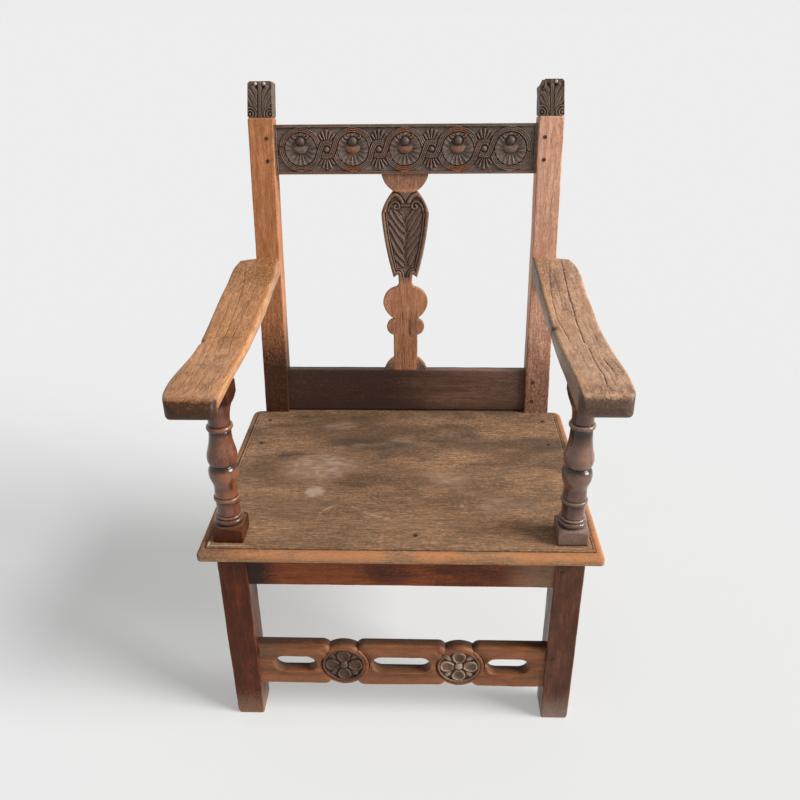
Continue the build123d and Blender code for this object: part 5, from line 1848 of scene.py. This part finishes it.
# ------------------------------------------------------------------- studio
@dataclass(frozen=True)
class Studio:
    """Pale seamless floor, soft daylight from the right, and the camera."""

    chair: Chair
    floor: str = "#ecedec"
    air: float = 0.30
    glow: float = 0.34
    key: tuple[float, ...] = (13.5, 29.0, 4.6, 30.0)  # azimuth, height, strength, angle
    eye: tuple[float, float, float] = (43.569, -1094.319, 1266.847)  # y from the front posts
    yaw: float = -0.036144
    pitch: float = -0.476808
    roll: float = -0.011923
    lens: float = 35.4173
    sensor: float = 36.0
    far: float = 60.0

    def seen(self, s: Shader) -> object:
        """Gives 1 for rays that show the backdrop: seen, mirrored or through glass."""
        ray = s.add("LightPath", {}).outputs
        total = s.math("ADD", ray["Is Camera Ray"], ray["Is Glossy Ray"])
        links = {0: total, 1: ray["Is Transmission Ray"]}
        return s.add("Math", links, operation="ADD", use_clamp=True).outputs[0]

    def light(self) -> None:
        """Sets the air and the soft key from the right."""
        world = bpy.data.worlds.new("studio_air")
        bpy.context.scene.world = world
        s = Shader.of(world)
        shown = s.add("Background", {"Color": linear(self.floor), "Strength": 1.0})
        air = s.add("Background", {"Color": linear("#ffffff"), "Strength": self.air})
        both = s.mix(self.seen(s), air.outputs[0], shown.outputs[0])
        s.add("OutputWorld", {"Surface": both})
        azimuth, height, strength, angle = self.key
        lamp = bpy.data.lights.new("key", "SUN")
        lamp.energy, lamp.angle = strength, math.radians(angle)
        turns = (math.radians(90 - height), 0.0, math.radians(90 - azimuth))
        put("key", lamp).rotation_euler = turns

    def ground(self) -> None:
        """Lays the floor: diffuse, so that it holds the chair's shadow."""
        mesh = bpy.data.meshes.new("floor")
        f = self.far
        mesh.from_pydata([(-f, -f, 0), (f, -f, 0), (f, f, 0), (-f, f, 0)], [], [(0, 1, 2, 3)])
        made = put("floor", mesh)
        paint = bpy.data.materials.new("floor_paint_matt")
        s = Shader.of(paint)
        matt = s.add("BsdfDiffuse", {"Color": linear(self.floor)}).outputs[0]
        glow = s.add("Emission", {"Color": linear(self.floor), "Strength": 1.0}).outputs[0]
        share = s.math("MULTIPLY", self.seen(s), self.glow)
        s.add("OutputMaterial", {"Surface": s.mix(share, matt, glow)})
        mesh.materials.append(paint)
        made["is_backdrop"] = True

    def camera(self) -> None:
        """Places the camera."""
        y, p, r = self.yaw, self.pitch, self.roll
        ahead = np.array([math.sin(y) * math.cos(p), math.cos(y) * math.cos(p), math.sin(p)])
        right = np.array([math.cos(y), -math.sin(y), 0.0])
        up = np.cross(right, ahead)
        side = right * math.cos(r) + up * math.sin(r)
        top = up * math.cos(r) - right * math.sin(r)
        lens = bpy.data.cameras.new("camera")
        lens.sensor_width, lens.lens = self.sensor, self.lens
        lens.clip_end = 200.0
        made = put("camera", lens)
        x, eye_y, z = self.eye
        stand = np.array([x, eye_y + self.chair.front_y, z]) * MM
        turn = Matrix(np.column_stack([side, top, -ahead]).tolist()).to_4x4()
        made.matrix_world = Matrix.Translation(stand.tolist()) @ turn
        bpy.context.scene.camera = made

    def build(self) -> None:
        """Builds the studio."""
        bpy.context.scene.view_settings.view_transform = "Standard"
        self.light()
        self.ground()
        self.camera()


# ----------------------------------------------------- finishes of the pieces
# Scraped and waxed: warm and even, with fine upright fibres.
POST_LEFT = Oak(
    "oak_post_waxed_golden", Grain.RAKED, "#de9768", "#c17f52", "#9a5f3a", soil_and_painted_shade="#33190f",
    rubbed="#c98f66", cloud=0.14, shakes=0.25, band=7, fibre=1.3,
)
# The same, a painted-light copy for the right side: pinkish and paler.
POST_RIGHT_PAINTED_LIT = replace(
    POST_LEFT, name="oak_post_waxed_painted_lit", light="#fccfaf", heart="#e9af92", dark="#bc8569",
    soil_and_painted_shade="#5c3426", rubbed="#d9ad92",
)
# Carved and never waxed in its hollows: grey and dry, with pale rubbed tips.
HEAD = Oak(
    "oak_head_carved", Grain.RAKED, "#8d786a", "#6f5c4f", "#4f3f34", grime="#1d1511",
    rubbed="#ae927e", dust_and_painted_light="#d0bcae", cloud=0.25, shakes=0.1, figure=0.5,
)
# Turned, waxed thickly and handled: deep red-brown, with sharp highlights.
LEG_LEFT = Oak(
    "oak_leg_waxed_red", Grain.UP, "#833b1d", "#642d14", "#411c0a", rubbed="#b5714e",
    soil_and_painted_shade="#26140c", dust_and_painted_light="#95765e", gloss=0.28, coat=0.85, shine=0.1, mottle=0.5,
    pepper=0.28, cloud=0.45, cloud_size=34, shakes=0.15, figure=0.5, rub=0.4,
)
# The same with dust in the wax: browner, and the highlights greyer.
LEG_RIGHT = replace(
    LEG_LEFT, name="oak_leg_waxed_grey", light="#925940", heart="#744734", dark="#4a2d1e",
    rubbed="#a2755f", soil_and_painted_shade="#291a14", dust_and_painted_light="#9c897b", gloss=0.3,
)
# Planed and waxed: orange where it is clean, with broad dark clouds.
RAIL = Oak(
    "oak_rail_waxed", Grain.ACROSS, "#af5526", "#8e461f", "#5d2d13", rubbed="#aa5c30",
    soil_and_painted_shade="#26150d", dust_and_painted_light="#90836d", gloss=0.34, coat=0.15, cloud=0.4, cloud_size=45,
    figure=0.6,
)
# Planed, seldom waxed: dull, and painted brown as the seat's shade.
SIDE_RAIL_PAINTED_SHADE = Oak(
    "oak_side_rail_waxed_painted_shade", Grain.DEEP, "#6f4630", "#573827", "#3a261b", gloss=0.45, cloud=0.4,
    figure=0.6,
)
# Planed, scrubbed and sat on: pale and matt, with fine fibres and many dark specks.
SEAT = Oak(
    "oak_seat_worn", Grain.ACROSS, "#e7b388", "#bc906b", "#80624a", grime="#261c14",
    rubbed="#c98758", soil_and_painted_shade="#5d4b3c", dust_and_painted_light="#d5baa4", band=4, fibre=1, figure=0.72,
    gloss=0.5, coat=0.06, cloud=0.5, cloud_size=80, shakes=0.3, rub=0.75, dirt=0.8,
    mottle=0.22, pepper=0.42,
)
# Carved and kicked: brown in the hollows, pale where shoes rub it.
STRETCHER = Oak(
    "oak_stretcher_carved", Grain.ACROSS, "#b06a3e", "#8c5534", "#5e3920", rubbed="#b0714c",
    soil_and_painted_shade="#4b3c32", dust_and_painted_light="#d6bea7", gloss=0.34, coat=0.15, cloud=0.35, cloud_size=30,
    shakes=0.15, figure=0.6,
)
# Spokeshaved and rubbed by hands: golden, smooth, with long open cracks.
ARM_LEFT = Oak(
    "oak_arm_rubbed_golden", Grain.DEEP, "#eaab74", "#ca8c5a", "#916039", rubbed="#d6935a",
    soil_and_painted_shade="#361e11", dust_and_painted_light="#c2a18c", band=6, fibre=1.3, gloss=0.38, cloud=0.2,
    shakes=0.9, rub=0.7,
)
# The same, a painted-light copy: paler, and its cracks show more.
ARM_RIGHT_PAINTED_LIT = replace(
    ARM_LEFT, name="oak_arm_rubbed_painted_lit", light="#f6c49f", heart="#dbaa85", dark="#a4785b",
    rubbed="#e0a468", soil_and_painted_shade="#4e3c33", dust_and_painted_light="#a5968c", gloss=0.4, cloud=0.25, shakes=0.95,
    rub=0.65,
)
# Carved and brushed with wax: grey-brown, nearly black in the hollows, red on the tops.
CREST = Oak(
    "oak_crest_carved", Grain.ACROSS, "#98837a", "#79675c", "#55443c", grime="#17100b",
    rubbed="#8a5230", dust_and_painted_light="#706e6c", cloud=0.2, shakes=0.1, gloss=0.36, rub=0.75,
    figure=0.5, dirt=0.9, shine=0.3,
)
# Sawn and scraped, carved above: pinkish on the plain shaft, dark between the leaves.
SPLAT = Oak(
    "oak_splat_carved", Grain.RAKED, "#e8a575", "#c98965", "#976445", rubbed="#955e42",
    soil_and_painted_shade="#65534a", dust_and_painted_light="#a0948b", gloss=0.4, cloud=0.2, shakes=0.25, band=7,
    fibre=1.3, dirt=0.9,
)
# Planed and waxed, darker to the left: dark, with a grey bloom.
LOWER_RAIL = Oak(
    "oak_lower_rail_dark", Grain.ACROSS, "#946856", "#725041", "#4b352b", rubbed="#8a5f47",
    soil_and_painted_shade="#3f2c24", dust_and_painted_light="#9a7f70", gloss=0.38, cloud=0.35, shakes=0.15, figure=0.6,
    coat=0.08,
)
# Riven and hammered home: dull dark ends.
PEG = Oak("oak_peg_riven", Grain.DEEP, "#5e4335", "#48342a", "#2f221b", gloss=0.5, cloud=0.4)
NAIL = Iron()


def main() -> None:
    """Builds the chair on its frame, and the studio round it."""
    logging.basicConfig(level=logging.INFO, format="%(name)s: %(message)s")
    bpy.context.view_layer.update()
    chair = Chair.measured()
    FrontPost(chair, -1, top_block=27, lean_in=4, lift=0, dust=0.5).build(LEG_LEFT)
    FrontPost(chair, 1, top_block=21, lean_in=0, lift=7, dust=0.8).build(LEG_RIGHT)
    RearPost(chair, -1, chip=0).build(POST_LEFT, HEAD)
    RearPost(chair, 1, chip=12).build(POST_RIGHT_PAINTED_LIT, HEAD)
    Arm(chair, LEFT_ARM).build(ARM_LEFT)
    Arm(chair, RIGHT_ARM).build(ARM_RIGHT_PAINTED_LIT)
    SeatFrame(chair).build(RAIL, SIDE_RAIL_PAINTED_SHADE)
    Seat(chair).build(SEAT, NAIL)
    Stretcher(chair).build(STRETCHER)
    Crest(chair).build(CREST)
    Splat(chair).build(SPLAT)
    LowerRail(chair).build(LOWER_RAIL)
    for name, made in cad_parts.items():
        if name.endswith("_pegs"):
            made.data.materials.clear()
            made.data.materials.append(PEG.material())
            LOG.info("%s: dressed as riven pegs", name)
    Studio(chair).build()


if __name__ == "__main__":
    main()
